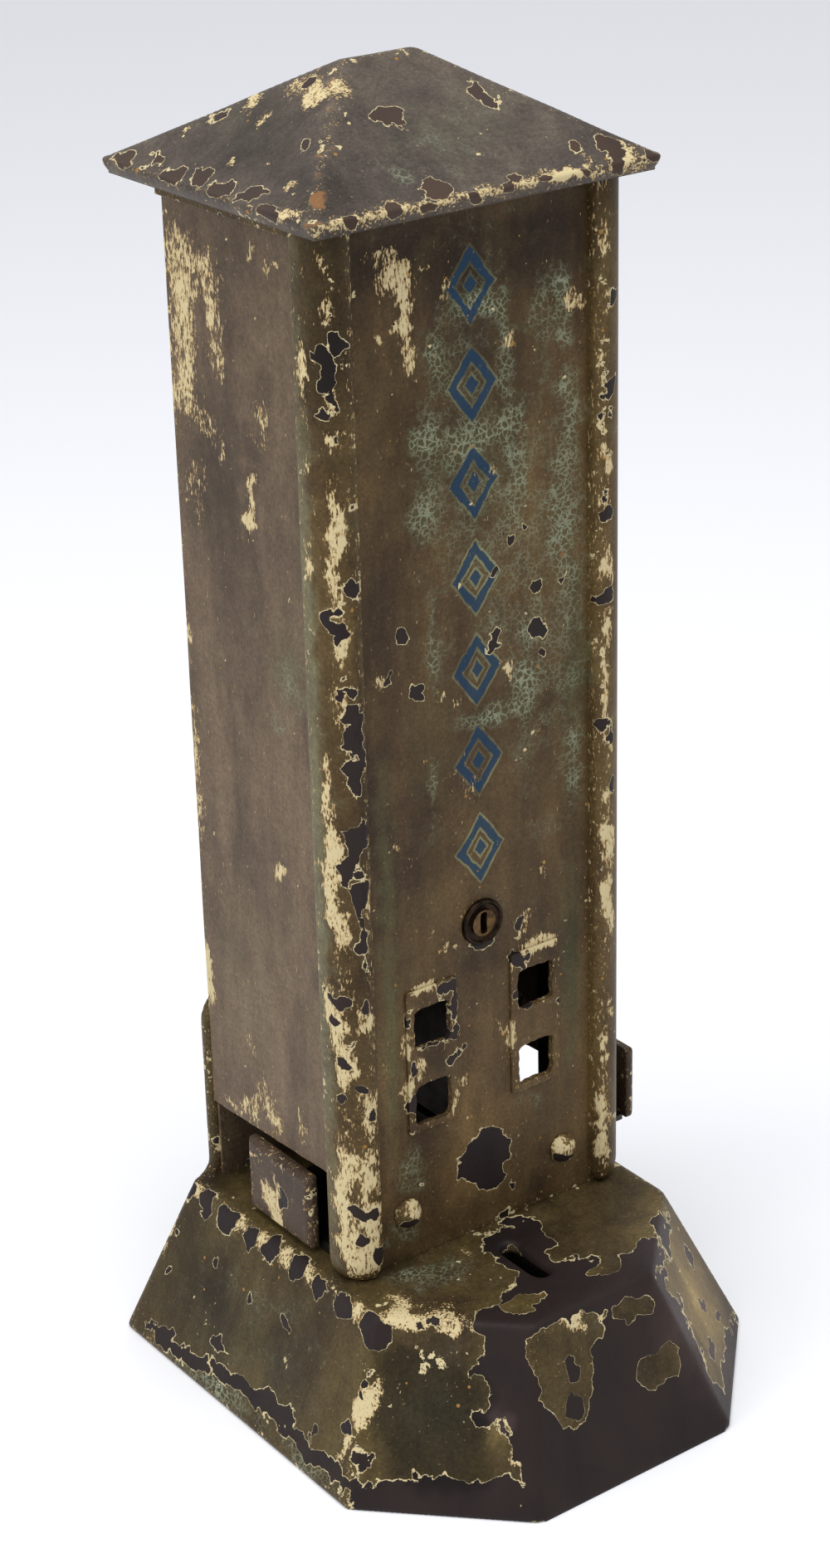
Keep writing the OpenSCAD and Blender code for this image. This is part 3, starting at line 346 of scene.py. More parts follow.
def chipped_areas(tree, at, field, mottle, chip):
    """Where the metal shows, in scalloped chips and small pits, and where the chips have cream rims."""
    grain = add(
        tree, "TexNoise", {"Scale": 1 / CHIP_GRAIN, "Detail": 7.0, "Roughness": 0.68, "Distortion": 0.5},
        {"Vector": at})
    scallop = add(tree, "TexVoronoi", {"feature": "F1", "Scale": 1 / SCALLOP_SIZE}, {"Vector": at})
    level = add(tree, "Math", {"operation": "MULTIPLY_ADD", 1: SCALLOP_PART, 2: SCALLOP_LEVEL},
                {0: scallop.outputs["Distance"]})
    level = add(tree, "Math", {"operation": "ADD"}, {0: grain, 1: level})
    place = add(tree, "Math", {"operation": "MULTIPLY_ADD", 1: CHIP_ON_EDGES},
                {0: field["edge"], 2: field["bare"]})
    level = add(tree, "Math", {"operation": "MULTIPLY_ADD", 1: CHIP_ON_PLACES}, {0: place, 2: level})
    chipped = add(tree, "MapRange", {"From Min": CHIP_START - chip, "From Max": CHIP_FULL - chip},
                  {"Value": level})
    pits = add(tree, "TexVoronoi", {"feature": "F1", "Scale": 1 / PIT_SPACING}, {"Vector": at})
    pit_size = add(tree, "MapRange", {"From Min": PIT_START, "From Max": 1.0, "To Max": PIT_MOST},
                   {"Value": pits.outputs["Color"]})
    pit = add(tree, "Math", {"operation": "LESS_THAN"}, {0: pits.outputs["Distance"], 1: pit_size})
    chipped = add(tree, "Math", {"operation": "MAXIMUM"}, {0: chipped, 1: pit})
    rim = add(tree, "Math", {"operation": "MULTIPLY_ADD", 1: RIM_PART}, {0: mottle, 2: level})
    rim = add(tree, "MapRange", {"From Min": RIM_START - chip, "From Max": RIM_FULL - chip}, {"Value": rim})
    return chipped, rim


def old_paint(name, colours, metals, rub, chip, gloss, streak=0.36, lozenges=False):
    """Paint in its light, deep and green colours over clean and rusty metal.

    rub and chip say how readily it wears through. streak draws out the rubbed streaks, further as it goes
    down from 1. Where the paint is worn comes from the wear that each mesh stores.
    """
    material, tree, at = new_material(name)
    field = {
        kind: add(tree, "Attribute", {"attribute_name": kind}).outputs["Fac"]
        for kind in ("edge", *WEAR_KINDS)
    }
    grain = paint_grain(tree, at)
    drift, tone, mottle, brush = grain
    coat, dirt_and_painted_light = top_coat(tree, at, colours, grain, field)
    coat = crazing(tree, at, coat, colours[2], mottle, field)
    coat = rust_stains(tree, coat, mottle, field)
    if lozenges:
        coat = lozenge_row(tree, at, coat, drift, mottle)
    rubbed, fresh = rubbed_areas(tree, at, field, rub, streak)
    chipped, rim = chipped_areas(tree, at, field, mottle, chip)
    cream = add(tree, "Mix", {"data_type": "RGBA", "A": linear(TAN), "B": linear(CREAM)}, {"Factor": fresh})
    cream = add(tree, "Mix", {"data_type": "RGBA", "A": linear(CREAM)}, {"Factor": rubbed, "B": cream})
    clean, rusty = (linear(c) for c in metals)
    metal = add(tree, "Mix", {"data_type": "RGBA", "A": clean, "B": rusty}, {"Factor": tone})
    # The same dirt and painted shade darken the bare metal too
    metal = add(tree, "Mix", {"data_type": "RGBA", "blend_type": "MULTIPLY", "Factor": 1.0},
                {"A": metal, "B": dirt_and_painted_light})
    undercoat = add(tree, "Math", {"operation": "MAXIMUM"}, {0: rubbed, 1: rim})
    colour = add(tree, "Mix", {"data_type": "RGBA"}, {"Factor": undercoat, "A": coat, "B": cream})
    colour = add(tree, "Mix", {"data_type": "RGBA"}, {"Factor": chipped, "A": colour, "B": metal})

    # Each lost coat is a step down; the brush marks are finer
    step = add(tree, "Math", {"operation": "ADD"}, {0: undercoat, 1: chipped})
    height = add(tree, "Math", {"operation": "MULTIPLY_ADD", 1: STEP_PART}, {0: step, 2: brush})
    bump = add(tree, "Bump", {"Strength": 0.55, "Distance": COAT_STEP * MM}, {"Height": height})
    rough = add(tree, "Math", {"operation": "MULTIPLY_ADD", 1: BRUSH_ROUGH, 2: gloss - LEAST_ROUGH},
                {0: brush})
    rough = add(tree, "Math", {"operation": "MULTIPLY_ADD", 1: RUB_ROUGH}, {0: rubbed, 2: rough})
    shader = add(tree, "BsdfPrincipled", {"IOR": 1.5, "Specular IOR Level": 0.12},
                 {"Base Color": colour, "Roughness": rough, "Normal": bump})
    add(tree, "OutputMaterial", {}, {"Surface": shader})
    return material


# Metal left plain. Rolled or turned, then darkened by oil and age: cloudy colour, and an uneven sheen.
SHEEN_LESS, SHEEN_MORE = 0.12, 0.18
METAL_STEP = 0.1


def old_metal(name, light, dark, cloud, grain, gloss):
    material, tree, at = new_material(name)
    clouds = add(tree, "TexNoise", {"Scale": 1 / cloud, "Detail": 5.0, "Roughness": 0.65}, {"Vector": at})
    tone = add(tree, "MapRange", {"From Min": 0.35, "From Max": 0.65}, {"Value": clouds})
    colour = add(tree, "Mix", {"data_type": "RGBA", "A": linear(light), "B": linear(dark)}, {"Factor": tone})
    marks = add(tree, "TexNoise", {"Scale": 1 / grain, "Detail": 4.0, "Roughness": 0.7}, {"Vector": at})
    rough = add(tree, "MapRange", {"To Min": gloss - SHEEN_LESS, "To Max": gloss + SHEEN_MORE},
                {"Value": marks})
    bump = add(tree, "Bump", {"Strength": 0.35, "Distance": METAL_STEP * MM}, {"Height": marks})
    shader = add(tree, "BsdfPrincipled", {"Metallic": 1.0},
                 {"Base Color": colour, "Roughness": rough, "Normal": bump})
    add(tree, "OutputMaterial", {}, {"Surface": shader})
    return material


# Finishes, named for what they are on
IRON = ("#241d1c", "#2c2320")
PRIMER = ("#40342f", "#47372c")
PANEL = old_paint("brown_linseed_paint_on_sheet_steel", ("#6c5a46", "#524334", "#57543c"), IRON,
                  rub=-0.02, chip=-0.05, gloss=0.42)
FRONT = old_paint("olive_linseed_paint_on_front_sheet", ("#5f4b2e", "#3d2f20", "#4e4d32"), IRON,
                  rub=-0.02, chip=-0.05, gloss=0.42, lozenges=True)
TRIM = old_paint("olive_linseed_paint_on_mouldings", ("#5f4d2d", "#42331e", "#6a674c"), IRON,
                 rub=0.0, chip=-0.03, gloss=0.4)
BASE = old_paint("olive_linseed_paint_on_cast_iron", ("#524528", "#382d1d", "#3b3a2e"), IRON,
                 rub=-0.03, chip=-0.02, gloss=0.44, streak=0.8)
ROOF = old_paint("weathered_linseed_paint_on_roof_sheet", ("#5a5046", "#463e38", "#504f40"), PRIMER,
                 rub=-0.02, chip=-0.05, gloss=0.42, streak=0.8)
HANDLE = old_paint("brown_linseed_paint_on_push_plates", ("#4c3d30", "#3c3027", "#433d2d"), IRON,
                   rub=-0.01, chip=-0.04, gloss=0.36, streak=0.5)
# Darker than clean steel, by oil and age and also as painted shade, so the inside of the tower reads dark
# through the windows
STEEL_DARK_AS_SHADE = old_metal("mild_steel_oiled_and_darkened_as_shade", "#4a4642", "#2b2825", cloud=14.0, grain=1.2, gloss=0.45)
SCREW = old_metal("mild_steel_turned_and_rusted", "#5a514a", "#3a2d25", cloud=2.2, grain=0.6, gloss=0.45)
BRASS = old_metal("brass_turned_and_tarnished", "#6a5236", "#3a2b1c", cloud=3.0, grain=0.5, gloss=0.42)
BRONZE = old_metal("bronze_turned_and_tarnished", "#3a2d22", "#16110e", cloud=3.0, grain=0.5, gloss=0.42)


# Worn places, in millimetres on the face they lie on: across, up, reach across, reach up, strength.
# cream is paint rubbed through to the undercoat, bare is paint chipped off, craze is fine cracking,
# green is faded paint, and on the mouldings also a painted sheen, dark is dirt and painted shade, and rust is
# staining. A bare place below zero is paint that has held, and a dark place below zero is a lighter one, some
# of them painted highlights and reflections. On the deck, up goes to the back. On the roof, up counts from
# the eaves.
DEEP = 3.5
LEANING_DEEP = 2.0
LEAST_ROUND = 2.0
HIP_REACH, SLOPE_REACH, RISE_REACH = 2.4, 2.6, 1.4
BOLT_Y, LUG_Y = -13.0, 73.0
LEFT_PLATE_X = size_of("left_push_plate")[0][0]
RIGHT_PLATE_X = size_of("right_push_plate")[1][0]
ROUND_X, ROUND_Y = MOULDING_HIGH[0] - MOULDING_CORNER, MOULDING_LOW[1] + MOULDING_CORNER
ROUND_START = ROUND_X - MOULDING_LOW[0]
ROUND_END = ROUND_START + MOULDING_CORNER * math.pi / 2
LEAN_X = (BASE_HALF_X - DECK_HALF) / DECK_Z
LEAN_Y = (BASE_HALF_Y + DECK_FRONT) / DECK_Z
EAVES_X, EAVES_FRONT, EAVES_BACK = ROOF_HIGH[0], ROOF_LOW[1], ROOF_HIGH[1]
HIP_RUN = (EAVES_X - ROOF_RIDGE_HALF) / ROOF_RISE
SLOPE_RUN = (EAVES_BACK - EAVES_FRONT) / 2 / ROOF_RISE


def on_moulding(side):
    """Counts round a corner moulding from its inner edge on the front to its rear edge on the side."""
    def place(s, z, wide, tall):
        if s < ROUND_START:
            x, y = MOULDING_LOW[0] + s, MOULDING_LOW[1]
        elif s < ROUND_END:
            turn = (s - ROUND_START) / MOULDING_CORNER
            x, y = ROUND_X + MOULDING_CORNER * math.sin(turn), ROUND_Y - MOULDING_CORNER * math.cos(turn)
        else:
            x, y = MOULDING_HIGH[0], ROUND_Y + s - ROUND_END
        wide = max(wide, LEAST_ROUND)
        return side * x, y, z, wide, wide, tall
    return place


def on_chamfer(side):
    """Counts along a front corner of the base from its middle, to the right as seen from outside."""
    foot_x, foot_y = BASE_HALF_X - FOOT_CHAMFER / 2, BASE_HALF_Y - FOOT_CHAMFER / 2
    deck_x, deck_y = DECK_HALF - DECK_CHAMFER / 2, -DECK_FRONT - DECK_CHAMFER / 2

    def place(s, z, wide, tall):
        x = foot_x + (deck_x - foot_x) * z / DECK_Z
        y = foot_y + (deck_y - foot_y) * z / DECK_Z
        along = s * math.sqrt(0.5)
        return side * x + along, side * along - y, z, wide, wide, tall
    return place


def on_base_side(side):
    return lambda y, z, wide, tall: (side * (BASE_HALF_X - LEAN_X * z), y, z, tall + LEANING_DEEP, wide, tall)


def on_base_end(side):
    return lambda x, z, wide, tall: (x, side * (BASE_HALF_Y - LEAN_Y * z), z, wide, tall + LEANING_DEEP, tall)


def on_roof_hip(side):
    def place(y, z, wide, tall):
        return side * (EAVES_X - HIP_RUN * z), y, EAVES_Z + z, HIP_REACH * tall, wide, RISE_REACH * tall
    return place


def on_roof_slope(side, eaves):
    def place(x, z, wide, tall):
        return x, eaves - side * SLOPE_RUN * z, EAVES_Z + z, wide, SLOPE_REACH * tall, RISE_REACH * tall
    return place


def facing_side(x):
    return lambda y, z, wide, tall: (x, y, z, DEEP, wide, tall)


def facing_end(y):
    return lambda x, z, wide, tall: (x, y, z, wide, DEEP, tall)


FACES = {
    "left side": facing_side(-TOWER_HALF),
    "right side": facing_side(TOWER_HALF),
    "front": facing_end(TOWER_FRONT),
    "back": facing_end(TOWER_BACK),
    "rear lug": facing_end(LUG_Y),
    "bolt heads": facing_end(BOLT_Y),
    "left push plate": facing_side(LEFT_PLATE_X),
    "right push plate": facing_side(RIGHT_PLATE_X),
    "left moulding": on_moulding(-1),
    "right moulding": on_moulding(1),
    "deck": lambda x, y, wide, tall: (x, y, DECK_Z, wide, tall, DEEP),
    "base left": on_base_side(-1),
    "base right": on_base_side(1),
    "base front": on_base_end(-1),
    "base back": on_base_end(1),
    "left chamfer": on_chamfer(-1),
    "right chamfer": on_chamfer(1),
    "roof left": on_roof_hip(-1),
    "roof right": on_roof_hip(1),
    "roof front": on_roof_slope(-1, EAVES_FRONT),
    "roof back": on_roof_slope(1, EAVES_BACK),
    "lip": lambda x, z, wide, tall: (x, EAVES_FRONT, EAVES_Z + z, wide, DEEP, tall),
}
WEAR = {kind: [] for kind in WEAR_KINDS}


def wear(face, kind, *places):
    """Puts wear of one kind on a face, at places given as above."""
    for across, up, reach_across, reach_up, strength in places:
        WEAR[kind].append((*FACES[face](across, up, reach_across, reach_up), strength))


def wear_left_side():
    # two broad rubs near the rear, a run of drips, and rubbing above the exit
    wear("left side", "cream", (60, 360, 9, 12, 0.95), (61, 340, 8, 14, 0.9), (61, 322, 7, 9, 0.9),
        (46, 358, 6, 12, 0.75), (43, 341, 5, 12, 0.75), (51, 314, 6, 6, 0.6), (25, 321, 7, 9, 0.35),
        (21, 320, 2, 10, 0.5), (29, 298, 2, 9, 1.1), (32, 289, 4, 3, 1.5), (24, 370, 2, 3, 0.8),
        (12, 370, 2, 2, 0.9), (17, 368, 2, 2, 0.8), (44, 308, 2, 3, 0.8), (58, 293, 7, 12, 0.42))
    wear("left side", "cream", (68, 245, 2, 4, 0.8), (67, 208, 3, 13, 0.7), (67, 186, 3, 9, 0.7),
        (68, 129, 3, 12, 1.2), (23, 181, 2, 4, 1.4), (38, 96, 8, 7, 0.65), (47, 89, 6, 4, 0.8),
        (58, 86, 4, 3, 0.7), (32, 90, 4, 5, 0.65), (18, 95, 3, 6, 0.7), (43, 114, 3, 4, 0.7))
    wear("left side", "craze", (14, 243, 9, 13, 0.75), (20, 229, 8, 4, 0.9), (18, 165, 8, 8, 0.4))
    wear("left side", "green", (15, 250, 15, 17, 0.8), (45, 140, 20, 45, 0.35))
    # The dark places: painted shadow under the eaves along the top, and the side darker over its upper part
    # and near the rear edge. The one below zero lightens the lower part.
    wear("left side", "dark", (31, 345, 2, 2, 0.7), (28, 320, 52, 95, 0.6), (30, 366, 42, 16, 0.35),
        (44, 302, 26, 36, 0.3), (58, 290, 14, 40, 0.3), (58, 235, 14, 42, 0.2), (35, 140, 26, 42, -0.12))


def wear_front():
    # a rub high on the left, a scatter of chips across the middle and one large chip low down
    wear("front", "cream", (-26, 366, 7, 5, 1.2), (-23, 354, 3, 8, 1.1), (-21, 341, 2, 6, 1.0),
        (-29, 373, 4, 2, 0.8), (-32, 350, 2, 2, 1.1), (-8, 359, 3, 4, 0.6), (-15, 368, 2, 2, 0.8),
        (37, 348, 3, 4, 0.75), (14, 341, 2, 3, 0.9), (6, 303, 2, 2, 0.8), (-35, 249, 2, 2, 0.9),
        (12, 240, 2, 4, 1.0), (-13, 238, 2, 2, 1.0), (-8, 235, 2, 2, 0.9), (-3, 208, 4, 4, 0.5))
    wear("front", "cream", (-30, 196, 2, 2, 1.0), (23, 172, 2, 3, 0.9), (16, 157, 3, 3, 0.7),
        (-14, 157, 2, 2, 0.9), (-9, 158, 2, 2, 0.9), (7, 123, 2, 4, 0.8), (-8, 110, 2, 3, 0.9))
    wear("front", "bare", (18, 285, 2, 2, 1.2), (7, 273, 2, 3, 1.2), (22, 265, 4, 3, 1.2),
        (32, 264, 2, 2, 1.1), (-26, 261, 3, 4, 1.4), (-32, 250, 2, 3, 1.4), (-22, 244, 4, 4, 1.4),
        (6, 251, 4, 4, 1.3), (23, 251, 3, 4, 1.3), (12, 280, 2, 2, 1.2), (25, 243, 2, 2, 1.2))
    wear("front", "bare", (0, 155, 5, 3, 1.3), (15, 157, 2, 2, 1.1), (-14, 157, 2, 2, 1.1),
        (-8, 121, 2, 3, 1.2), (0, 79, 11, 11, 2.4), (1, 80, 7, 7, 1.6), (4, 68, 5, 3, 1.4),
        (11, 64, 2, 2, 1.1))
    wear("front", "rust", (32, 271, 2, 2, 1.2))
    wear("front", "craze", (5, 352, 12, 5, 1.0), (0, 315, 19, 6, 1.0), (-17, 318, 6, 11, 1.0),
        (-18, 297, 6, 11, 0.95), (16, 305, 4, 22, 0.9), (28, 348, 8, 14, 0.95), (34, 345, 3, 16, 1.0),
        (31, 287, 5, 18, 1.0), (35, 315, 4, 16, 0.7), (12, 340, 3, 22, 0.85), (-12, 340, 4, 14, 0.8))
    wear("front", "craze", (20, 250, 5, 5, 0.9), (18, 232, 5, 14, 0.95), (3, 228, 14, 4, 1.0),
        (37, 200, 5, 14, 1.0), (-16, 255, 2, 22, 0.9), (-17, 212, 2, 18, 0.9), (-29, 84, 10, 13, 0.9),
        (18, 92, 8, 7, 0.55), (-33, 63, 11, 10, 0.7), (-2, 305, 26, 85, 0.62), (24, 250, 21, 85, 0.62),
        (36, 290, 9, 85, 0.5))
    wear("front", "green", (37, 236, 5, 28, 0.9), (35, 135, 5, 48, 0.9), (-35, 200, 4, 31, 0.7),
        (-35, 140, 4, 55, 1.0), (-16, 227, 12, 23, 0.35), (-2, 305, 27, 18, 0.4))
    # The dark places: painted shadow down from the eaves over the upper part, painted shade in the creases
    # beside the mouldings and along the foot, and darker round the windows. Those below zero lighten the
    # lower front.
    wear("front", "dark", (8, 366, 44, 16, 1.1), (-4, 371, 57, 8, 0.7), (-40, 368, 12, 16, 0.8),
        (-28, 318, 12, 44, 0.75), (-2, 340, 34, 38, 0.8), (-3, 124, 2, 2, 0.9), (36, 205, 5, 100, 0.35),
        (36, 142, 4, 16, 0.6), (-5, 60, 36, 8, 0.6))
    wear("front", "dark", (-15, 118, 18, 28, 0.25), (-4, 107, 27, 41, -0.6), (-37, 115, 9, 46, -0.7),
        (-40, 200, 4, 100, 0.12), (10, 150, 18, 8, 0.4))


def wear_window_plates():
    # cream along the top edges and down the outer one, with chips round the openings
    wear("front", "cream", (-23, 146, 6, 2, 1.4), (-29, 130, 2, 6, 1.2), (-29, 114, 2, 5, 1.1),
        (-25, 120, 2, 3, 1.0), (-12, 105, 2, 3, 0.8), (23, 147, 7, 3, 1.5), (10, 118, 2, 6, 0.9))
    wear("front", "bare", (-15, 144, 5, 4, 1.4), (-11, 134, 2, 9, 1.2), (-20, 127, 5, 3, 1.2),
        (-12, 127, 4, 3, 1.2), (-28, 139, 2, 5, 1.2), (-28, 121, 2, 3, 1.3), (-27, 107, 4, 5, 1.3),
        (-13, 119, 4, 3, 1.2), (14, 144, 4, 4, 1.5), (12, 133, 2, 5, 1.2), (20, 128, 6, 2, 1.1),
        (29, 124, 2, 5, 0.8))


def bolts_worn_lit_and_shaded():
    # Cream on top of each head and bare metal below it: worn paint, which also paints a highlight on top and
    # shade below
    for side in (-1, 1):
        wear("bolt heads", "cream", (30 * side, 73, 4, 3, 1.3))
        wear("bolt heads", "bare", (31 * side, 68, 6, 3, 1.8))


def wear_left_moulding():
    # worn most along the turn of the corner, with long chips beside it
    wear("left moulding", "cream", (9, 374, 2, 4, 0.8), (9, 362, 2, 5, 0.8), (17, 345, 2, 7, 1.1),
        (9, 338, 2, 6, 1.1), (8, 325, 2, 4, 0.9), (9, 300, 3, 13, 1.0), (7, 296, 2, 8, 0.8),
        (9, 282, 2, 7, 0.95), (8, 266, 2, 9, 0.85), (17, 288, 2, 4, 1.1), (9, 246, 2, 6, 0.9),
        (14, 224, 2, 11, 0.85), (14, 206, 3, 10, 0.9), (14, 194, 3, 8, 1.0))
    wear("left moulding", "cream", (14, 182, 3, 7, 1.1), (11, 176, 3, 6, 0.95), (3, 186, 2, 7, 1.0),
        (17, 150, 2, 7, 1.1), (14, 142, 3, 7, 1.0), (5, 144, 3, 5, 1.0), (12, 129, 3, 7, 1.1),
        (5, 113, 3, 9, 0.8), (13, 95, 3, 7, 1.0), (6, 92, 3, 9, 1.0), (15, 82, 3, 9, 1.05),
        (6, 78, 4, 5, 1.0), (13, 68, 4, 8, 1.05), (5, 68, 3, 8, 0.9), (9, 60, 5, 5, 0.8))
    wear("left moulding", "bare", (10, 344, 3, 5, 1.4), (12, 350, 2, 3, 1.3), (6, 352, 3, 3, 1.3),
        (12, 333, 2, 2, 1.0), (12, 274, 2, 4, 1.3), (10, 271, 3, 2, 1.3), (5, 283, 3, 4, 1.2),
        (6, 251, 2, 2, 1.3), (6, 245, 3, 3, 1.4), (5, 237, 4, 5, 1.5), (6, 226, 3, 5, 1.2),
        (17, 268, 2, 2, 1.1))
    wear("left moulding", "bare", (6, 205, 4, 5, 1.4), (9, 196, 3, 8, 1.2), (5, 185, 3, 6, 1.4),
        (5, 168, 3, 8, 0.9), (13, 152, 4, 3, 1.4), (15, 146, 2, 2, 1.2), (4, 150, 2, 2, 1.2),
        (13, 131, 2, 2, 1.4), (14, 120, 2, 2, 1.4), (5, 122, 2, 2, 1.3), (4, 113, 2, 2, 1.3),
        (10, 79, 4, 3, 1.5), (5, 78, 2, 3, 1.4), (8, 70, 3, 3, 1.4), (4, 63, 3, 5, 1.4))
    wear("left moulding", "cream", (9, 295, 3, 30, 0.2), (9, 255, 3, 32, 0.2), (13, 205, 3, 34, 0.25),
        (12, 165, 4, 32, 0.25), (11, 122, 6, 38, 0.25), (9, 82, 7, 30, 0.25), (17, 330, 2, 44, 0.4))
    wear("left moulding", "bare", (5, 232, 2, 24, 0.75), (5, 188, 3, 24, 0.75), (9, 340, 4, 16, 0.7),
        (8, 366, 5, 14, 0.3), (9, 268, 3, 20, 0.6), (8, 245, 2, 10, 0.8), (10, 130, 5, 42, 0.25))
    # A pale green strip down the side face: a painted sheen, in the colour of faded paint
    wear("left moulding", "green", (20, 220, 5, 190, 1.3))
    # The dark places: painted shadow under the eaves at the top, and painted shade in the gap along the inner
    # edge. The one below zero lightens the turn.
    wear("left moulding", "dark", (10, 374, 16, 44, 1.2), (12, 360, 8, 28, 1.3), (3, 255, 2, 105, 0.9),
        (5, 162, 4, 7, 0.9), (14, 306, 4, 16, -0.8))


def wear_right_moulding():
    wear("right moulding", "cream", (3, 364, 2, 2, 0.9), (3, 350, 2, 2, 0.7), (2, 330, 2, 2, 0.8),
        (2, 303, 2, 3, 0.9), (5, 297, 2, 4, 0.8), (2, 286, 2, 2, 0.8), (4, 268, 3, 5, 0.9),
        (6, 262, 2, 4, 0.8), (4, 248, 2, 8, 0.85), (4, 234, 2, 6, 0.8), (3, 222, 2, 5, 0.7),
        (5, 208, 2, 4, 0.85), (4, 190, 2, 4, 0.7))
    wear("right moulding", "cream", (4, 176, 3, 9, 1.05), (4, 158, 3, 7, 1.0), (6, 147, 3, 6, 1.1),
        (5, 117, 2, 3, 0.95), (3, 104, 2, 8, 0.95), (2, 80, 3, 9, 0.6), (2, 68, 3, 5, 0.7),
        (4, 170, 3, 40, 0.16), (3, 90, 3, 30, 0.2))
    wear("right moulding", "bare", (1, 382, 3, 3, 1.3), (6, 348, 3, 3, 1.3), (6, 322, 3, 4, 1.4),
        (6, 314, 2, 3, 1.2), (3, 283, 3, 3, 1.3), (4, 257, 4, 3, 1.4), (3, 216, 4, 3, 1.0),
        (6, 211, 2, 4, 1.3), (6, 194, 2, 5, 1.2), (3, 318, 3, 40, 0.3))
    # A pale green strip down the side face: a painted sheen, in the colour of faded paint
    wear("right moulding", "green", (20, 220, 5, 190, 1.0))
    # Painted shadow under the eaves at the top. The places below zero lighten the front face lower down.
    wear("right moulding", "dark", (8, 378, 14, 30, 0.8), (4, 162, 5, 28, -0.9), (3, 115, 5, 30, -0.4))


def wear_push_plates():
    wear("left push plate", "cream", (33, 65, 5, 5, 1.3), (28, 60, 4, 5, 1.2), (29, 71, 2, 4, 1.0),
        (45, 61, 2, 2, 0.9), (40, 75, 8, 1, 0.7))
    wear("left push plate", "bare", (26, 67, 3, 5, 1.6))
    wear("left push plate", "dark", (32, 57, 15, 3, 1.0))
    wear("right push plate", "cream", (22, 68, 5, 9, 0.9), (33, 64, 3, 7, 0.9))
    wear("right push plate", "bare", (30, 76, 4, 4, 1.1), (16, 58, 7, 3, 1.1))


def wear_deck():
    # bare round the slot and along the front edge, with paint left at both sides and in two islands
    wear("deck", "bare", (-3, -35, 8, 25, 1.9), (8, -22, 7, 15, 1.6), (5, -46, 12, 7, 1.5),
        (-14, -47, 10, 6, 1.4), (0, -59, 44, 7, 1.8), (-30, -51, 12, 5, 1.4), (30, -54, 14, 7, 1.4),
        (-47, -42, 6, 5, 1.6), (46, -46, 7, 10, 1.3))
    wear("deck", "bare", (33, -28, 21, 14, -3.0), (-18, -52, 7, 4, -3.6), (14, -53, 7, 4, -4.0),
        (27, -42, 8, 4, -1.6))
    wear("deck", "cream", (-52, -33, 5, 5, 1.2), (-47, -27, 4, 5, 0.9), (-42, -48, 4, 3, 0.9),
        (8, -14, 2, 4, 1.0), (6, -62, 5, 3, 1.3), (20, -60, 6, 2, 0.9), (-12, -62, 8, 2, 0.9),
        (-30, -60, 14, 2, 0.4), (-15, -18, 2, 4, 0.7))
    wear("deck", "craze", (-34, -16, 14, 7, 0.8), (-28, -24, 14, 8, 0.7))
    # The dark places: painted shade along the foot of the tower where it meets the deck, and darker between
    # the slot and the tower. The one below zero lightens the left of the deck.
    wear("deck", "dark", (-36, -9, 14, 5, 0.9), (15, -8, 34, 4, 0.8), (40, 4, 14, 5, 0.8),
        (0, -22, 18, 14, 0.8), (-36, -30, 14, 8, -0.5))


def wear_base_left():
    # a chipped top edge, cream where the corner was knocked, and a bare strip along the foot
    for y, reach in ((74, 6), (62, 4), (50, 5), (37, 4), (25, 4), (10, 5), (-2, 4), (-14, 4), (-30, 7)):
        wear("base left", "bare", (y, 50, reach, 4, 1.8))
    for y in (68, 44, 31, 18, 4, -20):
        wear("base left", "cream", (y, 51, 4, 3, 0.9))
    wear("base left", "cream", (-36, 30, 3, 8, 1.5), (-33, 16, 2, 6, 1.4), (77, 36, 2, 8, 0.8))
    wear("base left", "bare", (-34, 34, 2, 2, 1.5), (-31, 22, 3, 3, 1.3), (28, 34, 2, 2, 1.3),
        (7, 35, 4, 2, 1.5), (72, 37, 3, 2, 1.1), (70, 24, 3, 2, 1.0), (49, 36, 2, 2, 1.1),
        (36, 16, 4, 3, 1.3), (-19, 14, 2, 3, 1.3))
    for y, height in ((62, 7), (44, 8), (26, 11), (10, 11), (0, 13), (-14, 9), (-30, 9)):
        wear("base left", "bare", (y, height - 1, 12, 3, 1.4))
    wear("base left", "craze", (30, 4, 34, 5, 1.2), (-20, 4, 20, 5, 1.0), (20, 36, 50, 16, 0.35))
    wear("base left", "green", (20, 20, 50, 18, 0.4))
    wear("base left", "dark", (60, 30, 26, 22, 0.7), (40, 26, 30, 14, 0.4), (10, 48, 40, 6, 0.4),
        (-20, 26, 16, 22, -0.5))


def wear_left_chamfer():
    wear("left chamfer", "cream", (-27, 29, 3, 9, 1.5), (20, 31, 2, 11, 1.4), (22, 17, 2, 4, 1.2),
        (-8, 52, 12, 2, 0.8))
    wear("left chamfer", "bare", (9, 41, 4, 3, 1.3), (11, 28, 4, 4, 1.4), (16, 49, 4, 3, 1.2),
        (-27, 32, 2, 2, 1.5), (-24, 47, 5, 4, 1.2), (0, 4, 34, 8, 1.7), (14, 8, 14, 6, 1.4),
        (-25, 15, 4, 5, 1.1), (28, 26, 3, 26, 1.3), (-5, 44, 12, 6, 0.4))
    wear("left chamfer", "dark", (-9, 28, 15, 20, 3.0), (0, 18, 16, 14, 2.5), (-16, 38, 10, 10, 2.5),
        (2, 32, 12, 18, 1.6), (16, 28, 4, 18, -2.4))
    wear("left chamfer", "green", (-5, 28, 20, 20, 0.7))


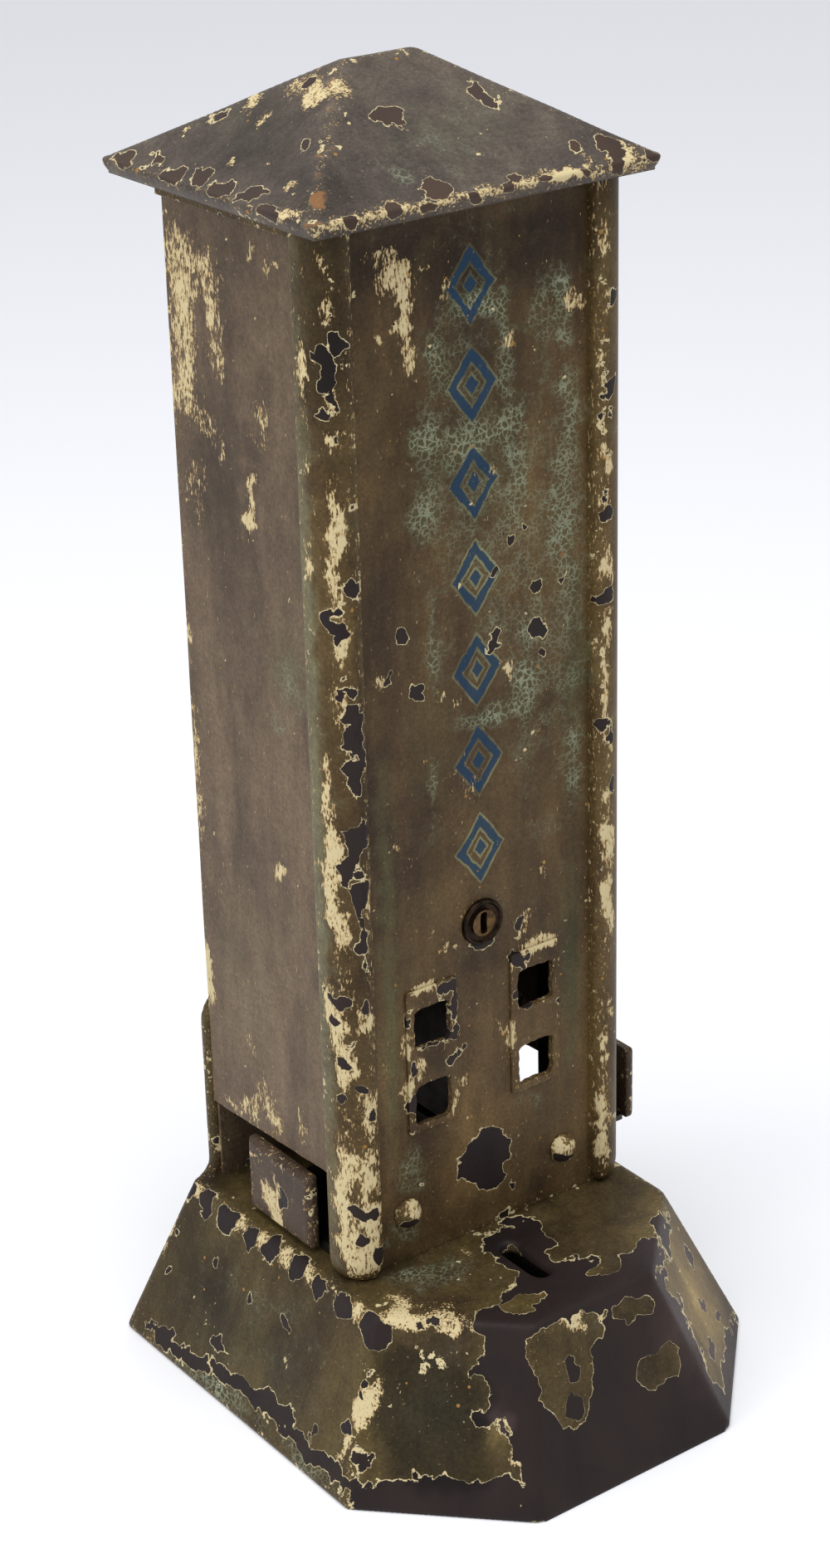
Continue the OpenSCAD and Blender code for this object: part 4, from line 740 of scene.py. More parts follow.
def wear_base_front():
    # almost bare, with two islands of paint
    wear("base front", "bare", (5, 26, 33, 34, 3.2), (-31, 24, 8, 38, 3.0), (26, 6, 17, 15, 2.6),
        (-18, 6, 12, 14, 2.6), (-16, 36, 13, 16, -5.4), (-5, 46, 10, 6, -3.4), (-14, 37, 4, 6, 6.5),
        (-17, 28, 4, 4, 6.0), (17, 27, 11, 7, -5.5), (22, 31, 4, 4, -3.0), (13, 46, 9, 4, -4.5))
    wear("base front", "cream", (-9, 51, 4, 3, 1.3), (-26, 24, 2, 4, 0.7), (2, 52, 3, 3, 1.0))


def wear_right_chamfer():
    wear("right chamfer", "bare", (-10, 15, 6, 3, 1.2), (3, 24, 3, 3, 1.2), (-12, 37, 3, 4, 1.2),
        (11, 14, 3, 2, 1.2), (0, 48, 24, 5, 0.8), (16, 34, 5, 4, 1.0), (0, 3, 30, 7, 1.4))
    wear("right chamfer", "cream", (-25, 23, 3, 6, 1.0))
    # A painted reflection: the whole chamfer made lighter
    wear("right chamfer", "dark", (0, 28, 34, 34, -6.0))


def wear_roof():
    wear("roof left", "cream", (47, 17, 3, 2, 1.5), (42, 15, 2, 1, 1.2), (33, 23, 5, 3, 1.2),
        (26, 21, 4, 2, 1.3), (62, 9, 2, 1, 1.4), (31, 6, 2, 1, 1.2), (17, 8, 3, 1, 1.2),
        (35, 15, 2, 1, 1.2), (2, 6, 2, 1, 1.1), (20, 24, 4, 2, 0.8))
    wear("roof left", "bare", (33, 23, 3, 2, 1.8), (55, 13, 4, 2, 0.9), (11, 12, 2, 2, 1.1))
    for y, height in ((74, 2), (60, 3), (48, 2), (36, 3), (24, 2), (11, 3), (0, 1)):
        wear("roof left", "bare", (y, height - 1, 6, 2, 1.4))
    wear("roof left", "rust", (-14, 5, 6, 2, 1.5))
    wear("roof left", "cream", (-8, 1, 5, 2, 0.8))
    # Painted shade: the roof's left face made darker than its front slope
    wear("roof left", "dark", (35, 12, 56, 18, 0.7))
    wear("roof left", "green", (40, 14, 26, 9, 0.3))
    wear("roof front", "bare", (-12, 16, 5, 3, 1.3), (20, 17, 5, 3, 1.3), (-16, 2, 5, 2, 1.3),
        (37, 4, 3, 2, 1.3), (46, 3, 5, 3, 1.3), (10, 1, 3, 1, 1.2))
    wear("roof front", "cream", (34, 2, 2, 1, 1.2), (48, 1, 4, 1, 1.1), (26, 0, 4, 1, 1.0))
    wear("roof front", "rust", (0, 6, 18, 1, 0.6), (25, 12, 8, 1, 0.6), (13, 9, 6, 1, 0.6))
    wear("roof front", "craze", (-24, 4, 5, 3, 0.8), (-14, 10, 18, 9, 0.4))
    wear("roof front", "green", (4, 12, 32, 9, 0.5))
    hip_line_rust_and_highlight()
    wear_lip()


HIP_MARKS, HIP_TOP = 7, 23
LIP_HALF, LIP_PITCH = 52, 13


def hip_line_rust_and_highlight():
    """A pale, rusty line down the edge between the roof's left and front faces: rust stain and a painted
    highlight.
    """
    for i in range(HIP_MARKS):
        z = HIP_TOP * i / (HIP_MARKS - 1) + 1
        wear("roof left", "rust", (EAVES_FRONT + SLOPE_RUN * z, z, 3, 2, 0.8))
        # Lighter along the edge: a painted highlight
        wear("roof left", "dark", (EAVES_FRONT + SLOPE_RUN * z, z, 3, 2, -0.9))


def wear_lip():
    """Rubs the roof's front lip all along, with a chip in each stretch."""
    for i, x in enumerate(range(-LIP_HALF, LIP_HALF + 1, LIP_PITCH)):
        wear("lip", "cream", (x, -1, 9, 2, 0.56))
        wear("lip", "bare", (x + 5, -1, 2 + i % 3, 2, 1.4))


def wear_unseen_sides():
    """Wears the right side, the back and the rear of the base like the sides that show."""
    wear("right side", "cream", (22, 340, 9, 32, 1.0), (34, 352, 5, 18, 0.8), (58, 300, 6, 22, 0.8),
        (66, 170, 3, 24, 1.1), (40, 96, 14, 8, 0.7), (12, 210, 2, 9, 1.2))
    wear("right side", "bare", (30, 240, 4, 5, 1.3), (48, 205, 5, 4, 1.3), (18, 150, 4, 6, 1.3))
    wear("right side", "craze", (24, 260, 18, 50, 0.8))
    wear("right side", "green", (20, 250, 20, 70, 0.7))
    # Painted shadow under the eaves
    wear("right side", "dark", (30, 360, 44, 40, 0.5))
    wear("back", "cream", (-24, 345, 10, 26, 1.0), (-12, 322, 6, 20, 0.8), (30, 270, 7, 30, 0.8),
        (44, 190, 4, 34, 1.1), (-40, 150, 5, 14, 0.9), (8, 372, 22, 5, 0.9))
    wear("back", "bare", (6, 225, 5, 6, 1.4), (-22, 200, 6, 5, 1.3), (26, 160, 6, 7, 1.4),
        (-36, 262, 4, 5, 1.3))
    wear("back", "craze", (10, 300, 20, 40, 0.8), (-30, 120, 14, 40, 0.8))
    wear("back", "green", (0, 260, 24, 90, 0.6))
    # Painted shadow under the eaves along the top; the others darken a band lower down and the lower corners
    wear("back", "dark", (0, 362, 50, 40, 0.5), (0, 124, 50, 10, 0.5), (-54, 60, 6, 40, 0.6),
        (54, 60, 6, 40, 0.6))
    wear("rear lug", "bare", (-6, 102, 9, 6, 1.2), (8, 96, 7, 5, 1.2), (36, 112, 6, 7, 1.1),
        (-38, 80, 8, 12, 1.3))
    wear("roof right", "cream", (40, 12, 8, 3, 1.2), (30, 0, 30, 2, 0.9))
    wear("roof right", "bare", (55, 6, 9, 3, 1.4), (4, 2, 14, 3, 1.3))
    wear("roof back", "cream", (-30, 9, 8, 4, 1.1), (34, 7, 9, 4, 1.1), (0, 0, 40, 2, 0.9))
    wear("roof back", "bare", (20, 13, 8, 3, 1.4), (-10, 6, 10, 3, 1.3))
    wear("base right", "cream", (30, 40, 10, 5, 1.1), (20, 51, 30, 3, 0.7))
    wear("base right", "bare", (-6, 28, 12, 8, 1.2), (12, 20, 14, 9, 1.3), (28, 33, 9, 6, 1.1),
        (6, 25, 5, 4, -2.0), (46, 34, 9, 7, 1.2), (58, 41, 7, 6, 1.3), (52, 38, 4, 3, -1.6),
        (62, 24, 5, 6, 1.1), (-20, 6, 20, 6, 1.2))
    wear("base right", "craze", (30, 20, 40, 14, 0.7))
    wear("base back", "cream", (-20, 45, 14, 5, 1.0), (50, 52, 10, 4, 1.1))
    wear("base back", "bare", (6, 26, 14, 8, 1.2), (26, 20, 16, 7, 1.3), (42, 30, 8, 6, 1.1),
        (18, 24, 5, 4, -1.8))
    wear("base back", "green", (30, 30, 40, 20, 0.5))


wear_left_side()
wear_front()
wear_window_plates()
bolts_worn_lit_and_shaded()
wear_left_moulding()
wear_right_moulding()
wear_push_plates()
wear_deck()
wear_base_left()
wear_left_chamfer()
wear_base_front()
wear_right_chamfer()
wear_roof()
wear_unseen_sides()


# Blender's noise starts from the clock unless it is seeded, so the seed keeps the wear the same each run.
WARP_SEED = 5
noise.seed_set(WARP_SEED)

# A broad and a fine noise pull the outlines of worn places about: how far, and over what size, in millimetres
BROAD_PULL, BROAD_SIZE = 2.6, 7.0
FINE_PULL, FINE_SIZE = 1.6, 2.6

# For each kind of wear: how fast a place fades outward, where it ends as a share of its reach, and the most
# that places add up to. Places more than FARTHEST reaches from a piece are left out.
FADES = {
    "cream": (1.3, 1.3, 1.1), "bare": (1.5, 1.12, 4.0), "craze": (0.9, 1.2, 1.0),
    "green": (0.9, 1.12, 0.8), "dark": (0.9, 1.12, 0.95), "rust": (1.1, 1.12, 1.5),
}
FARTHEST = 1.5
EDGE_REACH = 4.0
EDGE_ANGLE = math.radians(14)


def near_edges(mesh, points):
    """How near each vertex is to a sharp outward edge, from 0 to 1."""
    bm = bmesh.new()
    bm.from_mesh(mesh)
    sharp = [e for e in bm.edges if e.is_manifold and e.calc_face_angle_signed(0) > EDGE_ANGLE]
    worn = sorted({v.index for e in sharp for v in e.verts})
    bm.free()
    if not worn:
        return np.zeros(len(points))
    tree = KDTree(len(worn))
    for index in worn:
        tree.insert(points[index], index)
    tree.balance()
    return np.array([max(0.0, 1 - tree.find(p)[2] / EDGE_REACH) for p in points])


def pulled_about(points):
    """Moves each point a little by the two noises, which makes the outlines of worn places ragged."""
    moves = []
    for p in points:
        broad = np.array(noise.noise_vector(Vector(p) / BROAD_SIZE))
        fine = np.array(noise.noise_vector(Vector(p) / FINE_SIZE))
        moves.append(BROAD_PULL * broad + FINE_PULL * fine)
    return points + np.array(moves)


def wear_marks(mesh):
    """Stores on each vertex how near a sharp edge it is, and how far each kind of wear has gone there."""
    points = np.empty(len(mesh.vertices) * 3)
    mesh.vertices.foreach_get("co", points)
    points = points.reshape(-1, 3) / MM
    marks = {"edge": near_edges(mesh, points)}
    pulled = pulled_about(points)
    low = points.min(0) - BROAD_PULL - FINE_PULL
    high = points.max(0) + BROAD_PULL + FINE_PULL
    for kind, places in WEAR.items():
        slope, end, most = FADES[kind]
        level = np.zeros(len(points))
        for place in places:
            centre, reach, strength = np.array(place[:3]), np.array(place[3:6]), place[6]
            if np.all(centre + FARTHEST * reach > low) and np.all(centre - FARTHEST * reach < high):
                away = np.sqrt((((pulled - centre) / reach) ** 2).sum(1))
                level += strength * np.clip(slope * (end - away), 0, 1)
        marks[kind] = np.minimum(level, most)
    for kind, level in marks.items():
        mesh.attributes.new(kind, "FLOAT", "POINT").data.foreach_set("value", level.astype(np.float32))


# Pieces. Edges sharper than these angles, in degrees, stay sharp in the shading or are eased by a bevel.
SHEET_SMOOTH, LOCK_SMOOTH, SKIN_SMOOTH = 35, 40, 60
EASED_ANGLE = 50
SAME_POINT = 1e-6
SKIN_EASE = 0.5


def piece(node, points, faces, material, body, smooth=SHEET_SMOOTH):
    """Makes a closed mesh from points in millimetres, to stand in for a CAD node on its body."""
    mesh = bpy.data.meshes.new(node + "_worn")
    mesh.from_pydata([tuple(float(c) * MM for c in p) for p in points], [], faces)
    bm = bmesh.new()
    bm.from_mesh(mesh)
    bmesh.ops.remove_doubles(bm, verts=bm.verts, dist=SAME_POINT)
    bmesh.ops.recalc_face_normals(bm, faces=bm.faces)
    bm.to_mesh(mesh)
    bm.free()
    return dress(node, mesh, material, body, smooth)


def dress(node, mesh, material, body, smooth):
    """Smooths, ages and paints a mesh, and hands it to the frame in place of its CAD node."""
    mesh.shade_smooth()
    mesh.set_sharp_from_angle(angle=math.radians(smooth))
    wear_marks(mesh)
    mesh.materials.clear()
    mesh.materials.append(material)
    made = bpy.data.objects.new(node + "_worn", mesh)
    bpy.context.scene.collection.objects.link(made)
    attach(made, body)
    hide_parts(node)
    return made


def softened(node, material, body, grain, rounds, form=None):
    """Remakes a solid node as one fine skin with worn, rounded edges."""
    work = bpy.data.objects.new(node + "_work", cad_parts[node].data.copy())
    bpy.context.scene.collection.objects.link(work)
    skin = work.modifiers.new("skin", "REMESH")
    skin.mode = "VOXEL"
    skin.voxel_size = grain * MM
    ease = work.modifiers.new("ease", "SMOOTH")
    ease.factor = SKIN_EASE
    ease.iterations = rounds
    mesh = bpy.data.meshes.new_from_object(work.evaluated_get(bpy.context.evaluated_depsgraph_get()))
    mesh.name = node + "_worn"
    bpy.data.objects.remove(work)
    if form:
        for vertex in mesh.vertices:
            vertex.co = Vector(form(*(vertex.co / MM))) * MM
    return dress(node, mesh, material, body, SKIN_SMOOTH)


def ease_edges(made, width, segments=2):
    bevel = made.modifiers.new("eased_edges", "BEVEL")
    bevel.width = width * MM
    bevel.segments = segments
    bevel.limit_method = "ANGLE"
    bevel.angle_limit = math.radians(EASED_ANGLE)


def band(first, second):
    """Faces between two closed rings of points that run the same way round."""
    count = len(first)
    return [[first[i], first[(i + 1) % count], second[(i + 1) % count], second[i]] for i in range(count)]


# Flat sheets. Their points lie in staggered rows, and both of these are shares of the points' pitch
ROW_STEP, RIM_CLEAR = 0.87, 0.55
DENT_LEVEL = 4.7


def dent(u, v, size, depth):
    """A slow wave of shallow dents, size across and up to depth deep."""
    return depth * noise.noise(Vector((u / size, v / size, DENT_LEVEL)))


def inside(points, loop):
    """Whether each point lies inside a closed outline."""
    x, y = points[:, 0], points[:, 1]
    result = np.zeros(len(points), bool)
    for (x0, y0), (x1, y1) in zip(loop, np.roll(loop, -1, axis=0)):
        if y0 != y1:
            result ^= ((y0 > y) != (y1 > y)) & (x < (x1 - x0) * (y - y0) / (y1 - y0) + x0)
    return result


def stepped(loop, pitch):
    """An outline with points about every pitch along it."""
    points = []
    for a, b in zip(loop, np.roll(loop, -1, axis=0)):
        steps = max(1, round(np.linalg.norm(b - a) / pitch))
        points += [a + (b - a) * i / steps for i in range(steps)]
    return np.array(points)


def rounded(corners, radius, steps=4):
    """An outline with its corners taken off in a curve."""
    corners = np.array(corners, float)
    points = []
    for before, at, after in zip(np.roll(corners, 1, 0), corners, np.roll(corners, -1, 0)):
        start = at + (before - at) * radius / np.linalg.norm(before - at)
        end = at + (after - at) * radius / np.linalg.norm(after - at)
        along = np.linspace(0, 1, steps + 1)
        points += [(1 - t) ** 2 * start + 2 * t * (1 - t) * at + t * t * end for t in along]
    return np.array(points)


def rectangle(x0, y0, x1, y1):
    return np.array([(x0, y0), (x1, y0), (x1, y1), (x0, y1)], float)


def circle(x, y, radius, steps=24):
    turns = np.linspace(0, 2 * math.pi, steps, False)
    return np.array([(x + radius * math.cos(a), y + radius * math.sin(a)) for a in turns])


def sheet_points(loops, pitch):
    """The points of a sheet: its outlines, and staggered rows between them."""
    border = np.concatenate(loops)
    low, high = loops[0].min(0), loops[0].max(0)
    grid = []
    for row, y in enumerate(np.arange(low[1] + pitch / 2, high[1], pitch * ROW_STEP)):
        grid += [(x + (row % 2) * pitch / 2, y) for x in np.arange(low[0] + pitch / 3, high[0], pitch)]
    grid = np.array(grid)
    keep = inside(grid, loops[0])
    for hole in loops[1:]:
        keep &= ~inside(grid, hole)
    keep &= np.array([np.min(np.sum((border - p) ** 2, axis=1)) > (RIM_CLEAR * pitch) ** 2 for p in grid])
    return np.concatenate([border, grid[keep]])


def cut_sheet(outline, holes, pitch, place, thickness):
    """Points and faces of a sheet with holes. place turns two sizes on the sheet and a depth into a point."""
    loops = [stepped(loop, pitch) for loop in (outline, *holes)]
    edges, first = [], 0
    for loop in loops:
        edges += [(first + i, first + (i + 1) % len(loop)) for i in range(len(loop))]
        first += len(loop)
    flat = [Vector(p) for p in sheet_points(loops, pitch)]
    corners, _, faces, *_ = delaunay_2d_cdt(flat, edges, [], 0, SAME_POINT)
    flat = np.array([tuple(c) for c in corners])
    middle = np.array([flat[list(f)].mean(0) for f in faces])
    solid = inside(middle, loops[0])
    for hole in loops[1:]:
        solid &= ~inside(middle, hole)
    faces = [list(f) for f, keep_face in zip(faces, solid) if keep_face]
    count = len(flat)
    points = [place(u, v, 0.0) for u, v in flat] + [place(u, v, thickness) for u, v in flat]
    faces += [[i + count for i in reversed(f)] for f in faces]
    faces += [[a, b, b + count, a + count] for a, b in edges]
    return points, faces


# Tower: pressed sheet with shallow dents, its windows worn larger and rounder
PANEL_PITCH, BACK_PITCH, PLATE_PITCH = 1.7, 2.2, 1.0
SHEET, BACK_SHEET, PLATE_SHEET = 1.2, 1.0, 1.0
FRONT_HALF = 46.0
SIDE_FOOT = 86.0
FRONT_DENT_SIZE, SIDE_DENT_SIZE = 45, 40
PANEL_DENT, BACK_DENT = 0.25, 0.2
PANEL_EASE, SIDE_EASE, PLATE_EASE = 0.2, 0.25, 0.3
WINDOW_X, WINDOW_Z = 20, (107, 133.5)
WINDOW_HALF, WINDOW_CORNER = 6.8, 2.4
WINDOW_PITCH = 0.8
WINDOW_WEAR_SIZE, WINDOW_WEAR = 2.2, 0.6
PLATE_CORNER = 1.0
LOCK_Z, LOCK_HOLE = 161.7, 6.1


def window_holes(middles):
    """Outlines of windows, with rounded and uneven edges."""
    def worn(a, b):
        return dent(a, b, WINDOW_WEAR_SIZE, WINDOW_WEAR)

    holes = []
    for x, z in middles:
        square = rectangle(x - WINDOW_HALF, z - WINDOW_HALF, x + WINDOW_HALF, z + WINDOW_HALF)
        loop = stepped(rounded(square, WINDOW_CORNER), WINDOW_PITCH)
        holes.append(np.array([p + (worn(p[0], p[1]), worn(p[1], p[0])) for p in loop]))
    return holes


def build_front():
    low, high = size_of("front_panel")
    windows = [(x, z) for x in (-WINDOW_X, WINDOW_X) for z in WINDOW_Z]
    holes = window_holes(windows) + [circle(0, LOCK_Z, LOCK_HOLE)]
    points, faces = cut_sheet(
        rectangle(-FRONT_HALF, low[2], FRONT_HALF, high[2]), holes, PANEL_PITCH,
        lambda u, v, d: (u, low[1] + d + dent(u, v, FRONT_DENT_SIZE, PANEL_DENT), v), SHEET)
    made = piece("front_panel", points, faces, FRONT, "body")
    ease_edges(made, PANEL_EASE)


def build_sides():
    """The side sheets. Their lower edges slope down to the back, and their dents go inward only."""
    for side, name in ((-1, "left"), (1, "right")):
        low, high = size_of(name + "_side_panel")
        outline = np.array([(low[1], SIDE_FOOT), (high[1], low[2]), (high[1], high[2]), (low[1], high[2])])

        def place(u, v, depth):
            return side * (TOWER_HALF - depth + min(0, dent(u, v, SIDE_DENT_SIZE, PANEL_DENT))), u, v

        points, faces = cut_sheet(outline, [], PANEL_PITCH, place, SHEET)
        made = piece(name + "_side_panel", points, faces, PANEL, "body")
        ease_edges(made, SIDE_EASE)


def build_back():
    low, high = size_of("back_panel")
    points, faces = cut_sheet(
        rectangle(low[0], low[2], high[0], high[2]), [], BACK_PITCH,
        lambda u, v, d: (u, high[1] - d - BACK_DENT + dent(u, v, SIDE_DENT_SIZE, BACK_DENT), v), BACK_SHEET)
    made = piece("back_panel", points, faces, PANEL, "body")
    ease_edges(made, PANEL_EASE)


def build_window_plates():
    for x, name in ((-WINDOW_X, "left"), (WINDOW_X, "right")):
        low, high = size_of(name + "_window_plate")
        outline = rounded(rectangle(low[0], low[2], high[0], high[2]), PLATE_CORNER)
        points, faces = cut_sheet(
            outline, window_holes([(x, z) for z in WINDOW_Z]), PLATE_PITCH,
            lambda u, v, d: (u, low[1] + d, v), PLATE_SHEET)
        made = piece(name + "_window_plate", points, faces, FRONT, "body")
        ease_edges(made, PLATE_EASE)


# Corner mouldings: a rounded section drawn down the corner, closed and drawn in like a dome at its lower end.
# They bite a little into the sheets, and their rounded edges stay clear of them.
MOULDING_DOME = 7.0
MOULDING_DRAW = 3.2
MOULDING_PITCH = 1.6
MOULDING_BITE, MOULDING_CLEAR = 0.1, 0.2
MOULDING_LEAST = 0.3
CORNER_SHRINK = 0.6
DOME_STEPS, EDGE_STEPS, CORNER_STEPS = 9, 7, 16


def moulding_ring(inset):
    """Plan of the right-hand moulding, its outer faces drawn in by inset."""
    x0, y0 = MOULDING_LOW[:2] + inset
    x1, y1 = MOULDING_HIGH[:2] - inset
    behind, beside = TOWER_FRONT + MOULDING_BITE, TOWER_HALF - MOULDING_BITE
    front_edge = max(MOULDING_LEAST, min(MOULDING_EDGE, TOWER_FRONT - MOULDING_CLEAR - y0))
    side_edge = max(MOULDING_LEAST, min(MOULDING_EDGE, x1 - TOWER_HALF - MOULDING_CLEAR))
    corners = [
        ((x0, behind), 0, 1), ((x0, y0), front_edge, EDGE_STEPS),
        ((x1, y0), MOULDING_CORNER - CORNER_SHRINK * inset, CORNER_STEPS), ((x1, y1), side_edge, EDGE_STEPS),
        ((beside, y1), 0, 1), ((beside, behind), 0, 1),
    ]
    flat = [np.array(c, float) for c, _, _ in corners]
    ring = []
    for i, (_, radius, count) in enumerate(corners):
        before, at, after = flat[i - 1], flat[i], flat[(i + 1) % len(flat)]
        if not radius:
            ring.append(at)
            continue
        a = (before - at) / np.linalg.norm(before - at)
        b = (after - at) / np.linalg.norm(after - at)
        middle = at + radius * (a + b)
        turns = np.linspace(0, math.pi / 2, count)
        ring += [middle - radius * (math.sin(t) * a + math.cos(t) * b) for t in turns]
    return ring


def build_mouldings():
    foot, top = MOULDING_LOW[2], MOULDING_HIGH[2]
    heights = [foot + MOULDING_DOME * (1 - math.cos(t)) for t in np.linspace(0, math.pi / 2, DOME_STEPS)]
    heights += [*np.arange(foot + MOULDING_DOME + MOULDING_PITCH, top, MOULDING_PITCH), top]
    rings = []
    for z in heights:
        rise = min(1.0, (z - foot) / MOULDING_DOME)
        inset = MOULDING_DRAW * (1 - math.sqrt(1 - (1 - rise) ** 2))
        rings.append([(x, y, z) for x, y in moulding_ring(inset)])
    count = len(rings[0])
    loops = [list(range(r * count, (r + 1) * count)) for r in range(len(rings))]
    faces = [face for lower, upper in zip(loops, loops[1:]) for face in band(lower, upper)]
    faces += [loops[0], loops[-1]]
    for side, name in ((-1, "left"), (1, "right")):
        points = [(side * x, y, z) for ring in rings for x, y, z in ring]
        piece(name + "_corner_moulding", points, faces, TRIM, "body")


# Lock: a turned barrel with a raised ring round a sunk face, given as radius and depth, and a dished plug
LOCK_FACE = [
    (4.33, -10.5), (5.9, -10.5), (6.15, -10.7), (6.3, -11.2), (6.55, -11.45), (6.9, -11.5), (7.25, -11.35),
    (7.5, -10.9), (7.5, -10.0),
]
LOCK_STEM = 6.0
LOCK_STEPS, PLUG_STEPS = 64, 48
PLUG_RADIUS, PLUG_DISH = 4.25, 0.35
PLUG_PITCH = 0.6
KEYWAY_HALF_W, KEYWAY_HALF_H, KEYWAY_CORNER = 1.25, 3.6, 1.0


def build_lock_barrel():
    bore, seat = LOCK_FACE[0][0], LOCK_FACE[-1][1]
    back = size_of("lock_barrel")[1][1]
    profile = LOCK_FACE + [(LOCK_STEM, seat), (LOCK_STEM, back), (bore, back)]
    turns = np.linspace(0, 2 * math.pi, LOCK_STEPS, False)
    points = [(r * math.cos(a), y, LOCK_Z + r * math.sin(a)) for a in turns for r, y in profile]
    count = len(profile)
    loops = [list(range(s * count, (s + 1) * count)) for s in range(LOCK_STEPS)]
    faces = [face for before, after in zip(loops, loops[1:] + loops[:1]) for face in band(before, after)]
    piece("lock_barrel", points, faces, BRONZE, "body", LOCK_SMOOTH)


def build_lock_plug():
    low, high = size_of("lock_plug")

    def place(u, v, depth):
        dish = PLUG_DISH * (1 - (u * u + (v - LOCK_Z) ** 2) / PLUG_RADIUS ** 2)
        return u, low[1] + (depth if depth else dish), v

    keyway = rectangle(-KEYWAY_HALF_W, LOCK_Z - KEYWAY_HALF_H, KEYWAY_HALF_W, LOCK_Z + KEYWAY_HALF_H)
    points, faces = cut_sheet(
        circle(0, LOCK_Z, PLUG_RADIUS, PLUG_STEPS), [rounded(keyway, KEYWAY_CORNER)], PLUG_PITCH, place,
        high[1] - low[1])
    piece("lock_plug", points, faces, BRASS, "lock_core", LOCK_SMOOTH)


# Roof: one folded sheet with soft hips, rounded corners and a rolled lip, which is given as drop and draw-in
ROOF_MIDDLE, ROOF_HALF = (ROOF_LOW + ROOF_HIGH) / 2, (ROOF_HIGH - ROOF_LOW) / 2
ROOF_STEPS_X, ROOF_STEPS_Y = 84, 74
ROOF_EVEN = 0.75
ROOF_CORNER = 2.0
ROOF_SHARP = 2.2
ROOF_OUT, ROOF_IN, ROOF_SHEET = 1.0, 2.4, 1.7
ROOF_DENT_SIZE, ROOF_DENT, ROOF_DENT_RISE = 24, 0.3, 4
LIP_ROLL = [
    (0.15, 0.5), (0.5, 0.12), (1.0, 0.0), (1.7, 0.1), (2.6, 0.4), (3.6, 0.9), (4.4, 1.4), (ROOF_LIP, 2.0),
    (ROOF_LIP, ROOF_IN),
]


def roof_plan(x, y, draw):
    """Takes a point of the square plan to the plan with rounded corners, drawn in."""
    half, middle = ROOF_HALF[:2], ROOF_MIDDLE[:2]
    out = np.array([x, y]) - middle
    inner = half - ROOF_CORNER
    over = np.abs(out) - inner
    if over.min() > 0:
        over *= over.max() / np.linalg.norm(over)
        out = np.sign(out) * (inner + over)
    return out * (half - draw) / half + middle


def roof_top(x, y):
    """Height of the roof's outer face, its hips rounded off, with dents that begin above the eaves."""
    hip = (ROOF_HALF[0] - abs(x - ROOF_MIDDLE[0])) / (ROOF_HALF[0] - ROOF_RIDGE_HALF) * ROOF_RISE
    slope = (ROOF_HALF[1] - abs(y - ROOF_MIDDLE[1])) / ROOF_HALF[1] * ROOF_RISE
    rise = max(0.0, -math.log(math.exp(-ROOF_SHARP * hip) + math.exp(-ROOF_SHARP * slope)) / ROOF_SHARP)
    dented = dent(x, y, ROOF_DENT_SIZE, ROOF_DENT) * min(1, rise / ROOF_DENT_RISE)
    return min(ROOF_HIGH[2], EAVES_Z + rise + dented)


def roof_steps(count, half):
    """Places across the roof, closer together towards the eaves."""
    t = np.linspace(-1, 1, count)
    return half * (ROOF_EVEN * t + (1 - ROOF_EVEN) * np.sin(t * math.pi / 2))


def build_roof():
    xs = ROOF_MIDDLE[0] + roof_steps(ROOF_STEPS_X, ROOF_HALF[0])
    ys = ROOF_MIDDLE[1] + roof_steps(ROOF_STEPS_Y, ROOF_HALF[1])
    square = [(x, y) for y in ys for x in xs]
    points = [(*roof_plan(x, y, ROOF_OUT), roof_top(x, y)) for x, y in square]
    points += [(*roof_plan(x, y, ROOF_IN), roof_top(x, y) - ROOF_SHEET) for x, y in square]
    count = len(square)
    faces = []
    for j in range(ROOF_STEPS_Y - 1):
        for i in range(ROOF_STEPS_X - 1):
            a = j * ROOF_STEPS_X + i
            quad = [a, a + 1, a + 1 + ROOF_STEPS_X, a + ROOF_STEPS_X]
            faces += [quad, [q + count for q in reversed(quad)]]
    rim = list(range(ROOF_STEPS_X))
    rim += [j * ROOF_STEPS_X + ROOF_STEPS_X - 1 for j in range(1, ROOF_STEPS_Y)]
    rim += [(ROOF_STEPS_Y - 1) * ROOF_STEPS_X + i for i in range(ROOF_STEPS_X - 2, -1, -1)]
    rim += [j * ROOF_STEPS_X for j in range(ROOF_STEPS_Y - 2, 0, -1)]
    levels = [rim]
    for drop, draw in LIP_ROLL:
        first = len(points)
        points += [(*roof_plan(*square[i], draw), EAVES_Z - drop) for i in rim]
        levels.append(list(range(first, first + len(rim))))
    levels.append([i + count for i in rim])
    for upper, lower in zip(levels, levels[1:]):
        faces += band(upper, lower)
    piece("roof_shell", points, faces, ROOF, "roof")


# Base: the coin slot is flared at the top by wear
SLOT_X, SLOT_Y = -2.3, -32.5
SLOT_HALF_STRAIGHT = 7.75
FLARE_REACH, FLARE_OUT, FLARE_DEPTH = 8.0, 2.4, 4.5


def flared_slot(x, y, z):
    across = x - SLOT_X
    along = math.copysign(max(0.0, abs(y - SLOT_Y) - SLOT_HALF_STRAIGHT), y - SLOT_Y)
    off = math.hypot(across, along)
    if z > DECK_Z - FLARE_DEPTH and 0 < off < FLARE_REACH:
        out = FLARE_OUT * (1 - off / FLARE_REACH) * (1 - max(0.0, DECK_Z - z) / FLARE_DEPTH) / off
        x, y = x + out * across, y + out * along
    return x, y, z


def build_castings_and_plates():
    softened("base_casting", BASE, "body", grain=1.2, rounds=2, form=flared_slot)
    for side in ("left", "right"):
        softened(side + "_push_plate", HANDLE, "shuttle", grain=0.6, rounds=2)
    softened("front_bolts", TRIM, "body", grain=0.4, rounds=2)
    softened("side_top_bands", TRIM, "body", grain=0.5, rounds=1)


